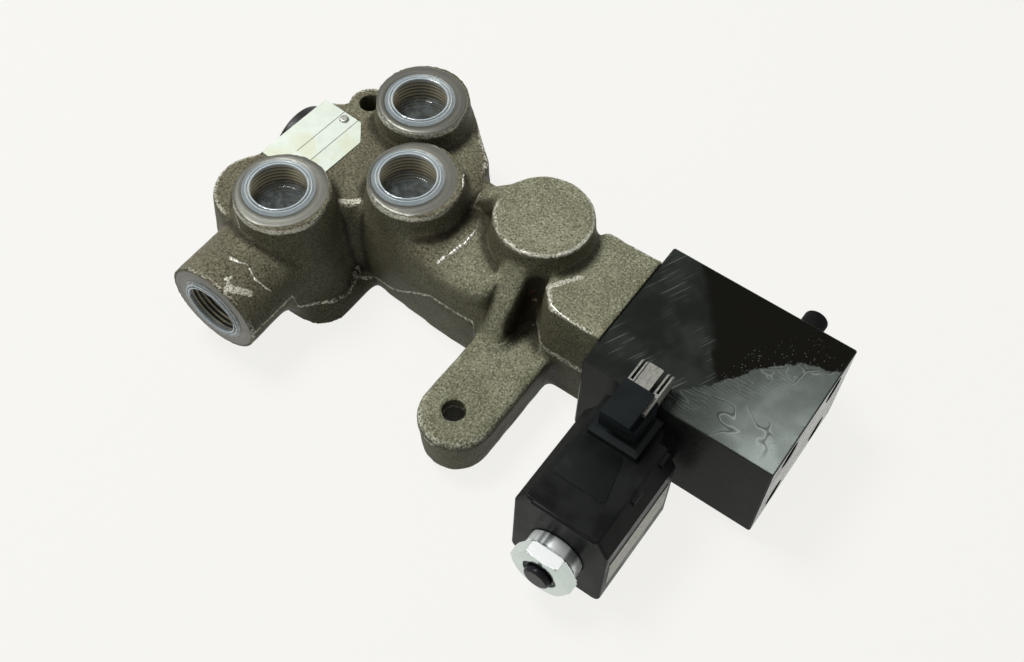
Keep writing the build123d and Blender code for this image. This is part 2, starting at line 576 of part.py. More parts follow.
def drain_nipple():
    """The small hose nipple screwed into the back of the block."""
    thread_y0 = BLOCK_Y1 - NIPPLE_THREAD
    nipple = rod_y(NIPPLE_THREAD_R - FIT_GAP, thread_y0, BLOCK_Y1, NIPPLE_X, NIPPLE_Z)
    nipple += rod_y(NIPPLE_R, BLOCK_Y1, BLOCK_Y1 + NIPPLE_OUT, NIPPLE_X, NIPPLE_Z)
    return nipple - rod_y(NIPPLE_BORE_R, thread_y0 - 1, BLOCK_Y1 + NIPPLE_OUT + 1, NIPPLE_X, NIPPLE_Z)


def nipple_cap():
    """The rubber cap pushed over the nipple."""
    cap = rod_y(NIPPLE_CAP_R, BLOCK_Y1, BLOCK_Y1 + NIPPLE_CAP_LENGTH, NIPPLE_X, NIPPLE_Z)
    cap = fillet(cap.edges().group_by(Axis.Y)[-1], NIPPLE_CAP_EDGE)
    inner_y = BLOCK_Y1 + NIPPLE_OUT + SEAT_GAP
    return cap - rod_y(NIPPLE_R + FIT_GAP, BLOCK_Y1 - 1, inner_y, NIPPLE_X, NIPPLE_Z)


def core_tube():
    """The solenoid's tube: block thread, pole, armature bore, nut thread and end lip."""
    block_end = BLOCK_Y0 + BLOCK_THREAD - SEAT_GAP
    tube = rod_y(BLOCK_THREAD_R - FIT_GAP, BLOCK_Y0, block_end, COIL_X, COIL_Z)
    tube += rod_y(TUBE_R, COIL_FRONT_Y, BLOCK_Y0, COIL_X, COIL_Z)
    hexagon = extrude(RegularPolygon(TUBE_HEX / 2, 6, major_radius=False), TUBE_HEX_LENGTH)
    tube += Pos(COIL_X, BLOCK_Y0, COIL_Z) * Rot(90, 0, 0) * hexagon
    tube += rod_y(CORE_THREAD_R, CORE_END_Y, COIL_FRONT_Y, COIL_X, COIL_Z)
    tube -= rod_y(ARMATURE_R, LIP_Y, POLE_FACE_Y, COIL_X, COIL_Z)
    tube -= rod_y(BUTTON_R + ARMATURE_GAP, CORE_END_Y - 1, LIP_Y, COIL_X, COIL_Z)
    return tube - rod_y(PIN_R + ARMATURE_GAP, POLE_FACE_Y, block_end + 1, COIL_X, COIL_Z)


def armature():
    return rod_y(ARMATURE_R - ARMATURE_GAP, ARMATURE_Y0, ARMATURE_Y1, COIL_X, COIL_Z)


def push_pin():
    return rod_y(PIN_R, ARMATURE_Y1, PILOT_SPOOL_Y0, COIL_X, COIL_Z)


def pilot_spool():
    """The pilot spool, with its control grooves."""
    spool = rod_y(PILOT_R, PILOT_SPOOL_Y0, PILOT_SPOOL_Y1, COIL_X, COIL_Z)
    for y0, y1 in PILOT_GROOVES:
        ring = rod_y(PILOT_R + 1, y0, y1, COIL_X, COIL_Z)
        spool -= ring - rod_y(PILOT_GROOVE_R, y0, y1, COIL_X, COIL_Z)
    return spool


def pilot_spring():
    """The spring that returns the pilot spool, the armature and the button."""
    length = PILOT_BORE_END_Y - PILOT_SPOOL_Y1
    spring = coil_spring(PILOT_SPRING_R, PILOT_WIRE_R, PILOT_SPRING_TURNS, length)
    return Pos(COIL_X, PILOT_SPOOL_Y1, COIL_Z) * Rot(-90, 0, 0) * spring


def override_button():
    """The hand override: a domed button kept in by the tube's lip, and the pin on the armature."""
    stem = rod_y(BUTTON_R, BUTTON_END_Y, LIP_Y + SEAT_GAP, COIL_X, COIL_Z)
    stem = fillet(stem.edges().group_by(Axis.Y)[0], BUTTON_DOME)
    flange_y = LIP_Y + SEAT_GAP
    flange = rod_y(BUTTON_FLANGE_R, flange_y, flange_y + BUTTON_FLANGE, COIL_X, COIL_Z)
    pin = rod_y(BUTTON_PIN_R, flange_y, ARMATURE_Y0 - ARMATURE_GAP, COIL_X, COIL_Z)
    return stem + flange + pin


def coil_nut():
    """The hexagon nut with its round collar, one piece."""
    nut_y1 = COIL_FRONT_Y - NUT_COLLAR
    outline = RegularPolygon(NUT_FLATS / 2, 6, major_radius=False)
    hexagon = Pos(COIL_X, nut_y1, COIL_Z) * Rot(90, 0, 0) * Rot(0, 0, 30) * extrude(outline, NUT_HEX)
    corner_r = NUT_FLATS / math.sqrt(3)
    slope = corner_r - NUT_CHAMFER_R
    turned = Cylinder(corner_r + 1, NUT_HEX - slope, align=MIDDLE_LOW)
    turned += Pos(0, 0, NUT_HEX - slope) * Cone(corner_r + 1, NUT_CHAMFER_R, slope, align=MIDDLE_LOW)
    hexagon &= Pos(COIL_X, nut_y1, COIL_Z) * Rot(90, 0, 0) * turned
    nut = hexagon + rod_y(NUT_COLLAR_R, nut_y1, COIL_FRONT_Y, COIL_X, COIL_Z)
    return nut - rod_y(CORE_THREAD_R + FIT_GAP, NUT_END_Y - 1, COIL_FRONT_Y + 1, COIL_X, COIL_Z)


def yoke_frame():
    """The steel frame round the winding: two end plates, and two strips that show on the sides."""
    x0, x1 = COIL_X - YOKE_HALF, COIL_X + YOKE_HALF
    frame = box(x0, x1, YOKE_Y0, YOKE_Y1, *around(YOKE_MID_Z, YOKE_WIDTH))
    end_x0, end_x1 = x0 + YOKE_THICK, x1 - YOKE_THICK
    end_z = around(YOKE_MID_Z, YOKE_END_WIDTH)
    frame += box(end_x0, end_x1, YOKE_Y0, YOKE_Y1, *end_z)
    frame -= box(end_x0, end_x1, YOKE_Y0 + YOKE_THICK, YOKE_Y1 - YOKE_THICK, *end_z)
    return frame - rod_y(TUBE_R + ARMATURE_GAP, YOKE_Y0 - 1, YOKE_Y1 + 1, COIL_X, COIL_Z)


def coil_winding():
    """The copper winding, one closed ring."""
    y0, y1 = YOKE_Y0 + YOKE_THICK + FIT_GAP, YOKE_Y1 - YOKE_THICK - FIT_GAP
    ring = rod_y(WINDING_R1, y0, y1, COIL_X, COIL_Z)
    return ring - rod_y(WINDING_R0, y0 - 1, y1 + 1, COIL_X, COIL_Z)


def coil_section():
    """The coil's cross section: straight sides, sloping shoulders and a flat top."""
    side, top = COIL_WIDTH / 2, COIL_TOP_WIDTH / 2
    outline = Polyline(
        (COIL_X - side, COIL_BOTTOM_Z),
        (COIL_X + side, COIL_BOTTOM_Z),
        (COIL_X + side, SHOULDER_Z),
        (COIL_X + top, COIL_TOP_Z),
        (COIL_X - top, COIL_TOP_Z),
        (COIL_X - side, SHOULDER_Z),
        close=True,
    )
    section = make_face(outline)
    rows = section.vertices().group_by(Axis.Y)
    section = fillet(rows[0], COIL_LOW_ROUND)
    section = fillet(section.vertices().group_by(Axis.Y)[-1], COIL_TOP_ROUND)
    return section


def connector_tower():
    """The moulded tower that carries the contact blades, with its skirt, post and overhanging lip."""
    skirt = box(*on_coil(SKIRT_SIDES), SKIRT_Y0, HEAD_Y1, SHOULDER_Z, SKIRT_Z)
    skirt = chamfer(skirt.edges().group_by(Axis.Z)[-1], TOWER_LIP_OUT)
    post_y0 = TOWER_Y0 + TOWER_LIP_OUT
    post = box(*on_coil(POST_SIDES), post_y0, HEAD_Y1, SHOULDER_Z, POST_Z)
    tower_x = on_coil(TOWER_SIDES)
    core = box(*tower_x, post_y0, HEAD_Y1, POST_Z - 1, TOWER_TOP_Z)
    lip = box(*tower_x, TOWER_Y0, HEAD_Y1, TOWER_TOP_Z - TOWER_LIP, TOWER_TOP_Z)
    return skirt + post + core + lip


def coil_head():
    """The plastic that reaches back over the tube's hexagon, under the connector."""
    head = box(*on_coil(HEAD_SIDES), COIL_BACK_Y - 1, HEAD_Y1, HEAD_Z0, COIL_TOP_Z)
    return chamfer(head.edges().group_by(Axis.Y)[-1], COIL_TOP_ROUND)


def rail_lugs():
    """Small lugs beside the coil's flat top."""
    high_z = COIL_TOP_Z - RAIL_LUG_SINK
    return [
        box(*on_coil(RAIL_LUG_SIDES), y, y + RAIL_LUG_LENGTH, SHOULDER_Z, high_z)
        for y in RAIL_LUGS_Y
    ]


def coil_housing():
    """The plastic moulded round the winding and the yoke, with the connector on its top."""
    flat = coil_section()
    body = Pos(0, COIL_BACK_Y, 0) * Rot(90, 0, 0) * extrude(flat, COIL_LENGTH, dir=(0, 0, 1))
    body = fillet(body.edges().group_by(Axis.Y)[0], COIL_END_ROUND)
    body += coil_head()
    body += connector_tower()
    for lug in rail_lugs():
        body += lug
    body -= rod_y(TUBE_R + ARMATURE_GAP, COIL_FRONT_Y - 1, COIL_BACK_Y + 1, COIL_X, COIL_Z)
    seat_r = COIL_SEAL_RING_R + COIL_SEAL_R
    body -= rod_y(seat_r, COIL_FRONT_Y - 1, COIL_FRONT_Y + COIL_SEAL_DEPTH, COIL_X, COIL_Z)
    body -= rod_y(seat_r, COIL_BACK_Y - COIL_SEAL_DEPTH, COIL_BACK_Y + 1, COIL_X, COIL_Z)
    body -= yoke_frame()
    body -= coil_winding()
    for blade in contact_blades() + [earth_blade()]:
        body -= blade
    return body


def coil_seals():
    """The two rings between the coil, the block and the nut."""
    ring = Rot(90, 0, 0) * Torus(COIL_SEAL_RING_R, COIL_SEAL_R - FIT_GAP)
    front = COIL_FRONT_Y + COIL_SEAL_DEPTH / 2
    back = COIL_BACK_Y - COIL_SEAL_DEPTH / 2
    return [Pos(COIL_X, y, COIL_Z) * ring for y in (front, back)]


def contact_blade(x):
    """A contact folded to two leaves that stand on edge, with narrowed tips."""
    high_z = BLADE_LOW_Z + BLADE_HEIGHT
    outline = Polyline(
        (BLADE_ROOT_Y, BLADE_LOW_Z),
        (BLADE_TIP_Y - BLADE_POINT, BLADE_LOW_Z),
        (BLADE_TIP_Y, BLADE_LOW_Z + BLADE_POINT),
        (BLADE_TIP_Y, high_z - BLADE_POINT),
        (BLADE_TIP_Y - BLADE_POINT, high_z),
        (BLADE_ROOT_Y, high_z),
        close=True,
    )
    blade = Pos(x, 0, 0) * extrude(make_face(Plane.YZ * outline), BLADE_FOLD / 2, both=True)
    gap = around(x, BLADE_FOLD - 2 * BLADE_THICK)
    return blade - box(*gap, BLADE_SPLIT_Y, BLADE_TIP_Y + 1, BLADE_LOW_Z - 1, high_z + 1)


def contact_blades():
    return [contact_blade(COIL_X + offset) for offset in BLADES_AT]


def earth_blade():
    """The flat earth contact, lying between the two others."""
    half = EARTH_WIDTH / 2
    outline = Polyline(
        (EARTH_X - half, BLADE_ROOT_Y),
        (EARTH_X + half, BLADE_ROOT_Y),
        (EARTH_X + half, EARTH_TIP_Y - EARTH_CORNER),
        (EARTH_X + half - EARTH_CORNER, EARTH_TIP_Y),
        (EARTH_X - half + EARTH_CORNER, EARTH_TIP_Y),
        (EARTH_X - half, EARTH_TIP_Y - EARTH_CORNER),
        close=True,
    )
    return Pos(0, 0, EARTH_Z - EARTH_THICK / 2) * extrude(make_face(outline), EARTH_THICK)


def save(name, shape):
    """Write one sub-part, a solid or a group of separate solids, under its own name."""
    if isinstance(shape, list):
        shape = Compound(children=[piece.solid() for piece in shape])
    export_step(shape, f"parts/{name}.step")


def main():
    for number, plug in enumerate(port_plugs(), start=1):
        save(f"port_plug_{number}", plug)
    for build in (
        valve_body,
        type_plate,
        plate_rivets,
        spool_end_cap,
        end_cap_seal,
        main_spool,
        main_spring,
        solenoid_block,
        block_seals,
        block_screws,
        drain_nipple,
        nipple_cap,
        core_tube,
        armature,
        push_pin,
        pilot_spool,
        pilot_spring,
        override_button,
        coil_nut,
        yoke_frame,
        coil_winding,
        coil_housing,
        coil_seals,
        contact_blades,
        earth_blade,
    ):
        save(build.__name__, build())


main()
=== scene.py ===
import math

import bmesh
import bpy
import numpy as np
from mathutils import Matrix, Vector, noise
from mathutils.bvhtree import BVHTree

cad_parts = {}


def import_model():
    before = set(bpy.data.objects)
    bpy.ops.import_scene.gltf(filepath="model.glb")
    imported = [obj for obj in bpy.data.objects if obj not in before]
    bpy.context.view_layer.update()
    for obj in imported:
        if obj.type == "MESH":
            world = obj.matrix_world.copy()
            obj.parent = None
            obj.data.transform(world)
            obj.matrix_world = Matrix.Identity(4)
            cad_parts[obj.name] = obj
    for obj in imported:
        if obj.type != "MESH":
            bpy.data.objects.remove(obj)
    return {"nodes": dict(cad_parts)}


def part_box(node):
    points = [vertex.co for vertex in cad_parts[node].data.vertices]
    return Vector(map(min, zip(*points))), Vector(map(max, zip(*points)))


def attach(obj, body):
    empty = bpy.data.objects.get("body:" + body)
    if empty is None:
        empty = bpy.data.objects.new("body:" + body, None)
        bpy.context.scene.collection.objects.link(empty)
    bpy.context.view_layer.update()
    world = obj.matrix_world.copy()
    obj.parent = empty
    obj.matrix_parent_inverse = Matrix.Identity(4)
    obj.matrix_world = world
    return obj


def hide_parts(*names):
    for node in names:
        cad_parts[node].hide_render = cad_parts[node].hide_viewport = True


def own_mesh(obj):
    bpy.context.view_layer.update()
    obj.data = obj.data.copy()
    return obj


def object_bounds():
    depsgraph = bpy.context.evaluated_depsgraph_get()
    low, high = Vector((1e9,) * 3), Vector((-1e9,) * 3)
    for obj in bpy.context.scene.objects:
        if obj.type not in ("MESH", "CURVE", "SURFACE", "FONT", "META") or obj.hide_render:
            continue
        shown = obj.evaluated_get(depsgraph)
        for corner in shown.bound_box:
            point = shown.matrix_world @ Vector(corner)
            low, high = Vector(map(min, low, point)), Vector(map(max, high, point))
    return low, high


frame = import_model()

cad_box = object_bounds()

# Millimetres are used below and turned into metres when a mesh is made.
MM = 0.001

# Places and sizes taken over from the CAD source, in millimetres
PORTS = {"1": (-84.0, 89.8), "2": (-63.2, 55.4), "3": (-99.2, 21.9)}
PORT_BOSSES = {"1": (-83.6, 91.2), "2": (-60.6, 56.6), "3": (-97.2, 21.5)}
PORT_FACE_Z = 57.8
PORT_BOSS_R = 18.8
SIDE_PORT_X, SIDE_PORT_Z, SIDE_FACE_Y = -99.3, 27.3, -21.5
SIDE_BOSS_R = 20.0
THREAD_CORE_R, THREAD_DEPTH, THREAD_PITCH = 12.05, 17.0, 1.81
TURNED_R = 18.6                  # reach of the machined face round a port
EAR = (-106.4, 85.0)
BLANK, BLANK_R, BLANK_TOP_Z = (-9.8, 69.7), 19.6, 61.0
NECK_END_X = 34.0
PLATE_CENTRE, PLATE_TURN = (-109.6, 55.6), -3.5
BLOCK_X0, BLOCK_X1, BLOCK_Y0, BLOCK_TOP_Z = 34.0, 112.0, 31.5, 49.5
COIL_X, COIL_Z, COIL_TOP_Z = 62.2, 20.6, 45.5
SPOOL_Y, SPOOL_Z = 63.0, 27.0
CAP_CUP_X, SPOOL_LEFT_X = -118.0, -94.0
PILOT_SPOOL_Y1, PILOT_BORE_END_Y = 76.0, 84.0

# Camera, fitted to the photograph
IMAGE_WIDTH, FOCAL_PIXELS = 1024, 1285.56
CAMERA_PLACE = (145.0, -188.8, 437.9)
CAMERA_AZIMUTH, CAMERA_ELEVATION, CAMERA_ROLL = 32.744, 56.622, 3.261


class Nodes:
    """Short calls that add nodes to a node tree."""

    def __init__(self, tree):
        self.tree = tree

    def link(self, source, target):
        """Gives a socket a number, a colour or a vector, or links another socket to it."""
        if isinstance(source, (int, float)):
            target.default_value = source
        elif isinstance(source, tuple):
            target.default_value = (*source, 1.0) if target.type == "RGBA" else source
        else:
            self.tree.links.new(source, target)

    def node(self, kind, inputs=(), output=0, **settings):
        """Adds a node with its settings and inputs, and returns one of its outputs."""
        made = self.tree.nodes.new(f"ShaderNode{kind}")
        for name, value in settings.items():
            setattr(made, name, value)
        for socket, source in dict(inputs).items():
            self.link(source, made.inputs[socket])
        return made.outputs[output]

    def math(self, operation, a, b=0.0, c=0.0):
        return self.node("Math", enumerate((a, b, c)), operation=operation)

    def plus(self, a, b):
        return self.math("ADD", a, b)

    def minus(self, a, b):
        return self.math("SUBTRACT", a, b)

    def line(self, source, factor, add):
        """source times factor, plus add."""
        return self.math("MULTIPLY_ADD", source, factor, add)

    def over_all(self, operation, sources):
        result = sources[0]
        for source in sources[1:]:
            result = self.math(operation, result, source)
        return result

    def times(self, *sources):
        """The product of several shares."""
        return self.over_all("MULTIPLY", sources)

    def most(self, *sources):
        """The largest of several shares."""
        return self.over_all("MAXIMUM", sources)

    def steps(self, source, low, high, from_value=0.0, to_value=1.0):
        """A smooth change from from_value to to_value as source goes from low to high."""
        inputs = enumerate((source, low, high, from_value, to_value))
        return self.node("MapRange", inputs, interpolation_type="SMOOTHSTEP")

    def ridge(self, source, middle, half):
        """1 where source is at its middle value, 0 from half away."""
        return self.steps(self.math("ABSOLUTE", self.minus(source, middle)), half, 0.0)

    def mix(self, share, a, b):
        """A colour from a to b."""
        return self.node("Mix", {0: share, 6: a, 7: b}, 2, data_type="RGBA")


class Finish(Nodes):
    """A procedural material: a Principled shader and the nodes in front of it."""

    def __init__(self, name, **values):
        self.material = bpy.data.materials.new(name)
        self.material.use_nodes = True
        super().__init__(self.material.node_tree)
        self.shader = self.tree.nodes["Principled BSDF"]
        for socket, value in values.items():
            self.shader.inputs[socket.replace("_", " ")].default_value = value
        self.place = self.vector("SCALE", self.node("TexCoord", output="Object"), 1 / MM)

    def set(self, socket, source):
        self.link(source, self.shader.inputs[socket])

    def base(self, colour):
        self.colour = colour
        self.set("Base Color", colour)

    def paint(self, share, colour):
        """Lays a colour over what is there."""
        self.base(self.mix(share, self.colour, colour))

    def vector(self, operation, a, b):
        second = "Scale" if operation == "SCALE" else 1
        return self.node("VectorMath", {0: a, second: b}, "Vector", operation=operation)

    def noise(self, per_mm, detail=2.0, rough=0.55, stretch=None, place=None, output="Fac"):
        """Noise from 0 to 1; stretch scales the three directions."""
        place = place or self.place
        if stretch:
            place = self.vector("MULTIPLY", place, stretch)
        inputs = {"Scale": per_mm, "Detail": detail, "Roughness": rough, "Vector": place}
        return self.node("TexNoise", inputs, output)

    def blots(self, low, high, *values, **settings):
        """Noise sharpened into blots: 0 up to low, 1 from high on."""
        return self.steps(self.noise(*values, **settings), low, high)

    def bent(self, per_mm, reach_mm):
        """The place, pushed about by a noise, for lines that wander."""
        away = self.vector("SUBTRACT", self.noise(per_mm, output="Color"), (0.5, 0.5, 0.5))
        return self.vector("ADD", self.place, self.vector("SCALE", away, 2 * reach_mm))

    def cells(self, per_mm):
        """Distance from the nearest of scattered points."""
        return self.node("TexVoronoi", {"Scale": per_mm, "Vector": self.place}, "Distance")

    def attribute(self, name):
        return self.node("Attribute", output="Fac", attribute_name=name)

    def axis(self, letter, place=None):
        return self.node("SeparateXYZ", {0: place or self.place}, letter)

    def combine(self, x, y=0.0, z=0.0):
        return self.node("CombineXYZ", enumerate((x, y, z)))

    def bump(self, height, distance_mm, strength=1.0):
        """Bumps of that height; a second call adds to the first."""
        inputs = {"Strength": strength, "Distance": distance_mm * MM, "Height": height}
        target = self.shader.inputs["Normal"]
        if target.is_linked:
            inputs["Normal"] = target.links[0].from_socket
        self.link(self.node("Bump", inputs, "Normal"), target)


def turning_marks(f):
    """Fine rings about a port's axis, as a share from 0 to 1."""
    return f.steps(f.noise(0.85, 4, 0.8, place=f.combine(f.attribute("ring_radius"))), 0.3, 0.7)


def casting_finish():
    """Sand-cast iron: grainy and painted lighter where it faces up, smoother walls painted darker as shade,
    worn edges, seam, and oil with painted shade in the hollows.
    """
    f = Finish("cast_iron_sand", Specular_IOR_Level=0.09)
    upward = f.steps(f.attribute("upward"), 0.15, 0.7)
    patches = f.blots(0.35, 0.65, 0.07, 3)
    grain = f.noise(1.2, 2, 0.6)
    fine = f.noise(1.7, 2, 0.65)
    # Painted light: faces that turn up are painted lighter, as lit tops, and the walls darker, as shaded
    # walls.
    top = f.mix(patches, (0.185, 0.185, 0.12), (0.255, 0.255, 0.172))
    browned = f.times(f.steps(f.axis("X"), -24.0, -46.0), f.steps(f.noise(0.05, 3, 0.6), 0.3, 0.6, 0.6, 1.0))
    top = f.mix(f.times(browned, 0.75), top, (0.11, 0.096, 0.062))
    top = f.mix(f.steps(grain, 0.32, 0.52), f.mix(browned, (0.095, 0.09, 0.056), (0.05, 0.042, 0.026)), top)
    top = f.mix(f.steps(grain, 0.54, 0.72), top, f.mix(browned, (0.4, 0.4, 0.29), (0.25, 0.225, 0.16)))
    wall = f.mix(patches, (0.108, 0.102, 0.064), (0.15, 0.146, 0.094))
    wall = f.mix(f.steps(fine, 0.38, 0.6), (0.038, 0.035, 0.021), wall)
    f.base(f.mix(upward, wall, top))
    # Rubbed bright
    worn = f.times(f.attribute("wear"), f.plus(f.noise(0.16, 3, 0.7), 0.35))
    worn = f.times(f.steps(worn, 0.45, 0.85), f.steps(grain, 0.4, 0.55))
    rim = f.steps(f.line(f.noise(1.1, 3, 0.7), 1.5, f.attribute("rim")), 1.0, 1.45)
    wave = f.line(f.noise(0.8, 3, 0.7), 1.6, -0.8)
    seam = f.math("ABSOLUTE", f.plus(wave, f.attribute("seam")))
    broken = f.blots(0.42, 0.52, 0.75, 3, 0.75)
    seam_line = f.times(f.steps(seam, 1.0, 0.45), broken)
    scraped = f.steps(f.line(f.noise(0.7, 4, 0.75), 1.5, f.attribute("scrape")), 1.25, 1.4)
    rubbed = f.most(worn, rim, seam_line, scraped)
    bare = f.mix(f.steps(grain, 0.38, 0.58), (0.3, 0.29, 0.22), (0.66, 0.65, 0.55))
    f.paint(f.times(rubbed, 0.9), bare)
    # Oil with painted shade, rust and specks of paint
    cavity = f.attribute("cavity")
    # Painted shade: the oil darkens the hollows that the cavity value finds and the listed zone by the rib,
    # for shade as well as oil.
    oil = f.steps(f.line(f.noise(0.12, 3, 0.65), 0.5, cavity), 0.4, 1.0)
    oil = f.most(f.times(oil, 0.8), f.steps(f.attribute("oil_and_shade"), 0.1, 0.9, 0.0, 0.93))
    oil = f.times(oil, f.line(rubbed, -0.8, 1.0))
    f.paint(oil, (0.017, 0.014, 0.008))
    rust = f.times(f.steps(cavity, 0.1, 0.5), f.blots(0.62, 0.7, 0.55, 3, 0.7))
    f.paint(f.times(rust, 0.5), (0.1, 0.03, 0.018))
    fleck = f.times(f.attribute("fleck"), f.blots(0.4, 0.55, 1.0, 2))
    f.paint(fleck, f.mix(f.steps(grain, 0.45, 0.6), (0.11, 0.008, 0.008), (0.3, 0.29, 0.22)))
    # The machined faces round the ports
    on_face = f.steps(f.attribute("face_depth"), 0.7, 0.3)
    turned_share = f.times(f.steps(f.attribute("ring_radius"), TURNED_R + 0.5, TURNED_R), on_face)
    rings = turning_marks(f)
    f.paint(turned_share, f.mix(rings, *TURNED_COLOURS))
    metal = f.line(rubbed, 0.5, f.times(upward, 0.1))
    f.set("Metallic", f.most(metal, f.times(turned_share, 0.85)))
    rough = f.minus(f.steps(fine, 0.3, 0.7, 0.42, 0.6), f.times(oil, 0.2))
    f.set("Roughness", f.line(turned_share, -0.1, rough))
    loose = f.line(turned_share, -0.95, 1.0)
    relief = f.times(f.line(fine, 0.5, grain), loose, f.steps(upward, 0, 1, 0.6, 1.0))
    f.bump(relief, 0.65)
    f.bump(f.times(rings, turned_share), 0.05, 0.7)
    f.bump(f.most(seam_line, f.times(rim, 0.5)), 0.5, 0.9)
    return f.material


TURNED_COLOURS = (0.09, 0.09, 0.076), (0.225, 0.226, 0.198)


def turned_finish():
    """A machined face or thread: grey iron with fine turning rings and a little dirt."""
    f = Finish("turned_iron", Metallic=0.85)
    rings = turning_marks(f)
    dirt = f.blots(0.5, 0.75, 0.35, 4, 0.7)
    f.base(f.mix(rings, *TURNED_COLOURS))
    f.paint(f.times(dirt, 0.4), (0.1, 0.092, 0.07))
    inside = f.steps(f.attribute("ring_height"), -0.6, -2.0)
    thread = f.mix(f.steps(f.attribute("ring_radius"), 12.2, 12.95), (0.42, 0.37, 0.24), (0.03, 0.025, 0.014))
    f.paint(f.times(inside, 0.85), thread)
    f.set("Roughness", f.steps(dirt, 0.0, 1.0, 0.36, 0.5))
    f.bump(rings, 0.05, 0.7)
    return f.material


def bead_finish():
    """Bare bright iron of flash ridges and rubbed rims."""
    f = Finish("rubbed_iron", Metallic=0.75)
    marks = f.noise(1.6, 3, 0.7)
    f.base(f.mix(f.steps(marks, 0.3, 0.6), (0.26, 0.25, 0.2), (0.78, 0.76, 0.68)))
    f.set("Roughness", f.steps(marks, 0.3, 0.7, 0.5, 0.3))
    f.bump(marks, 0.2, 0.7)
    return f.material


def clear_finish():
    """Translucent bluish plastic of the port plugs: paler, cloudier rings, clearer flange, walls and bottom.
    """
    f = Finish("clear_plug_plastic", IOR=1.45, Specular_IOR_Level=0.6)
    cloud = f.noise(0.25, 3)
    radius, height = f.attribute("ring_radius"), f.attribute("ring_height")
    inner = f.ridge(radius, 11.3, 0.75)
    outer = f.ridge(radius, 12.55, 0.5)
    above = f.steps(height, -0.8, 0.5)
    ring = f.times(f.most(inner, outer), above)
    flange = f.times(f.steps(radius, 12.6, 13.0), above)
    bottom = f.steps(height, -8.0, -9.4)
    smear = f.blots(0.45, 0.65, 0.3, 3, 0.6)
    bottom_see = f.times(bottom, f.line(smear, 0.28, 0.17))
    see = f.most(f.times(ring, 0.8), f.times(flange, 0.3), bottom_see, f.steps(height, -2.0, 0.4, 0.05, 0.3))
    f.set("Alpha", f.line(cloud, 0.1, f.minus(see, 0.05)))
    pale = f.mix(cloud, (0.36, 0.42, 0.44), (0.46, 0.52, 0.54))
    pale = f.mix(f.times(ring, 0.7), pale, (0.6, 0.68, 0.72))
    f.base(f.mix(bottom, pale, (0.15, 0.17, 0.165)))
    f.set("Roughness", f.steps(cloud, 0.3, 0.7, 0.06, 0.16))
    f.bump(f.noise(0.35, 2), 0.06, 0.5)
    return f.material


def plate_finish():
    """Pale plate metal with two printed rules, faintly brushed, stained and smudged."""
    f = Finish("plate_metal_pale", Metallic=0.2)
    turn = math.radians(PLATE_TURN)
    x = f.minus(f.axis("X"), PLATE_CENTRE[0])
    y = f.minus(f.axis("Y"), PLATE_CENTRE[1])
    across = f.plus(f.times(x, math.cos(turn)), f.times(y, math.sin(turn)))
    along = f.minus(f.times(y, math.cos(turn)), f.times(x, math.sin(turn)))
    brush = f.noise(1.2, 2, 0.5, stretch=(3.0, 0.08, 1.0))
    smudge = f.blots(0.42, 0.62, 0.12, 4, 0.65)
    f.base(f.mix(smudge, (0.69, 0.755, 0.66), (0.58, 0.64, 0.55)))
    f.paint(f.times(brush, 0.3), (0.78, 0.83, 0.76))
    stain = f.blots(0.5, 0.62, 0.09, 2)
    f.paint(f.times(stain, 0.4), (0.6, 0.6, 0.36))
    rules = f.times(f.ridge(across, -2.75, 0.32), f.steps(along, -9.4, -9.0))
    rules = f.most(rules, f.ridge(across, 4.7, 0.32))
    f.paint(f.times(rules, 0.92), (0.02, 0.02, 0.018))
    dirt = f.blots(0.66, 0.76, 0.7, 3, 0.7)
    f.paint(f.times(dirt, 0.4), (0.2, 0.2, 0.15))
    f.set("Roughness", f.steps(smudge, 0, 1, 0.4, 0.5))
    f.bump(brush, 0.02, 0.6)
    return f.material


def metal_finish(name, low, high, rough, brush=(1.0, 1.0, 1.0), scale=1.0, dirt_share=0.3):
    """Plain plated or bare metal with drawn marks along one direction and light dirt."""
    f = Finish(name, Metallic=1.0)
    marks = f.noise(scale, 3, 0.6, stretch=brush)
    dirt = f.blots(0.5, 0.75, 0.5, 4, 0.7)
    f.base(f.mix(marks, low, high))
    dark = tuple(value * 0.35 for value in low)
    f.paint(f.times(dirt, dirt_share), dark)
    f.set("Roughness", f.line(dirt, 0.15, f.steps(marks, 0.3, 0.7, rough * 0.8, rough * 1.25)))
    f.bump(marks, 0.03, 0.7)
    return f.material


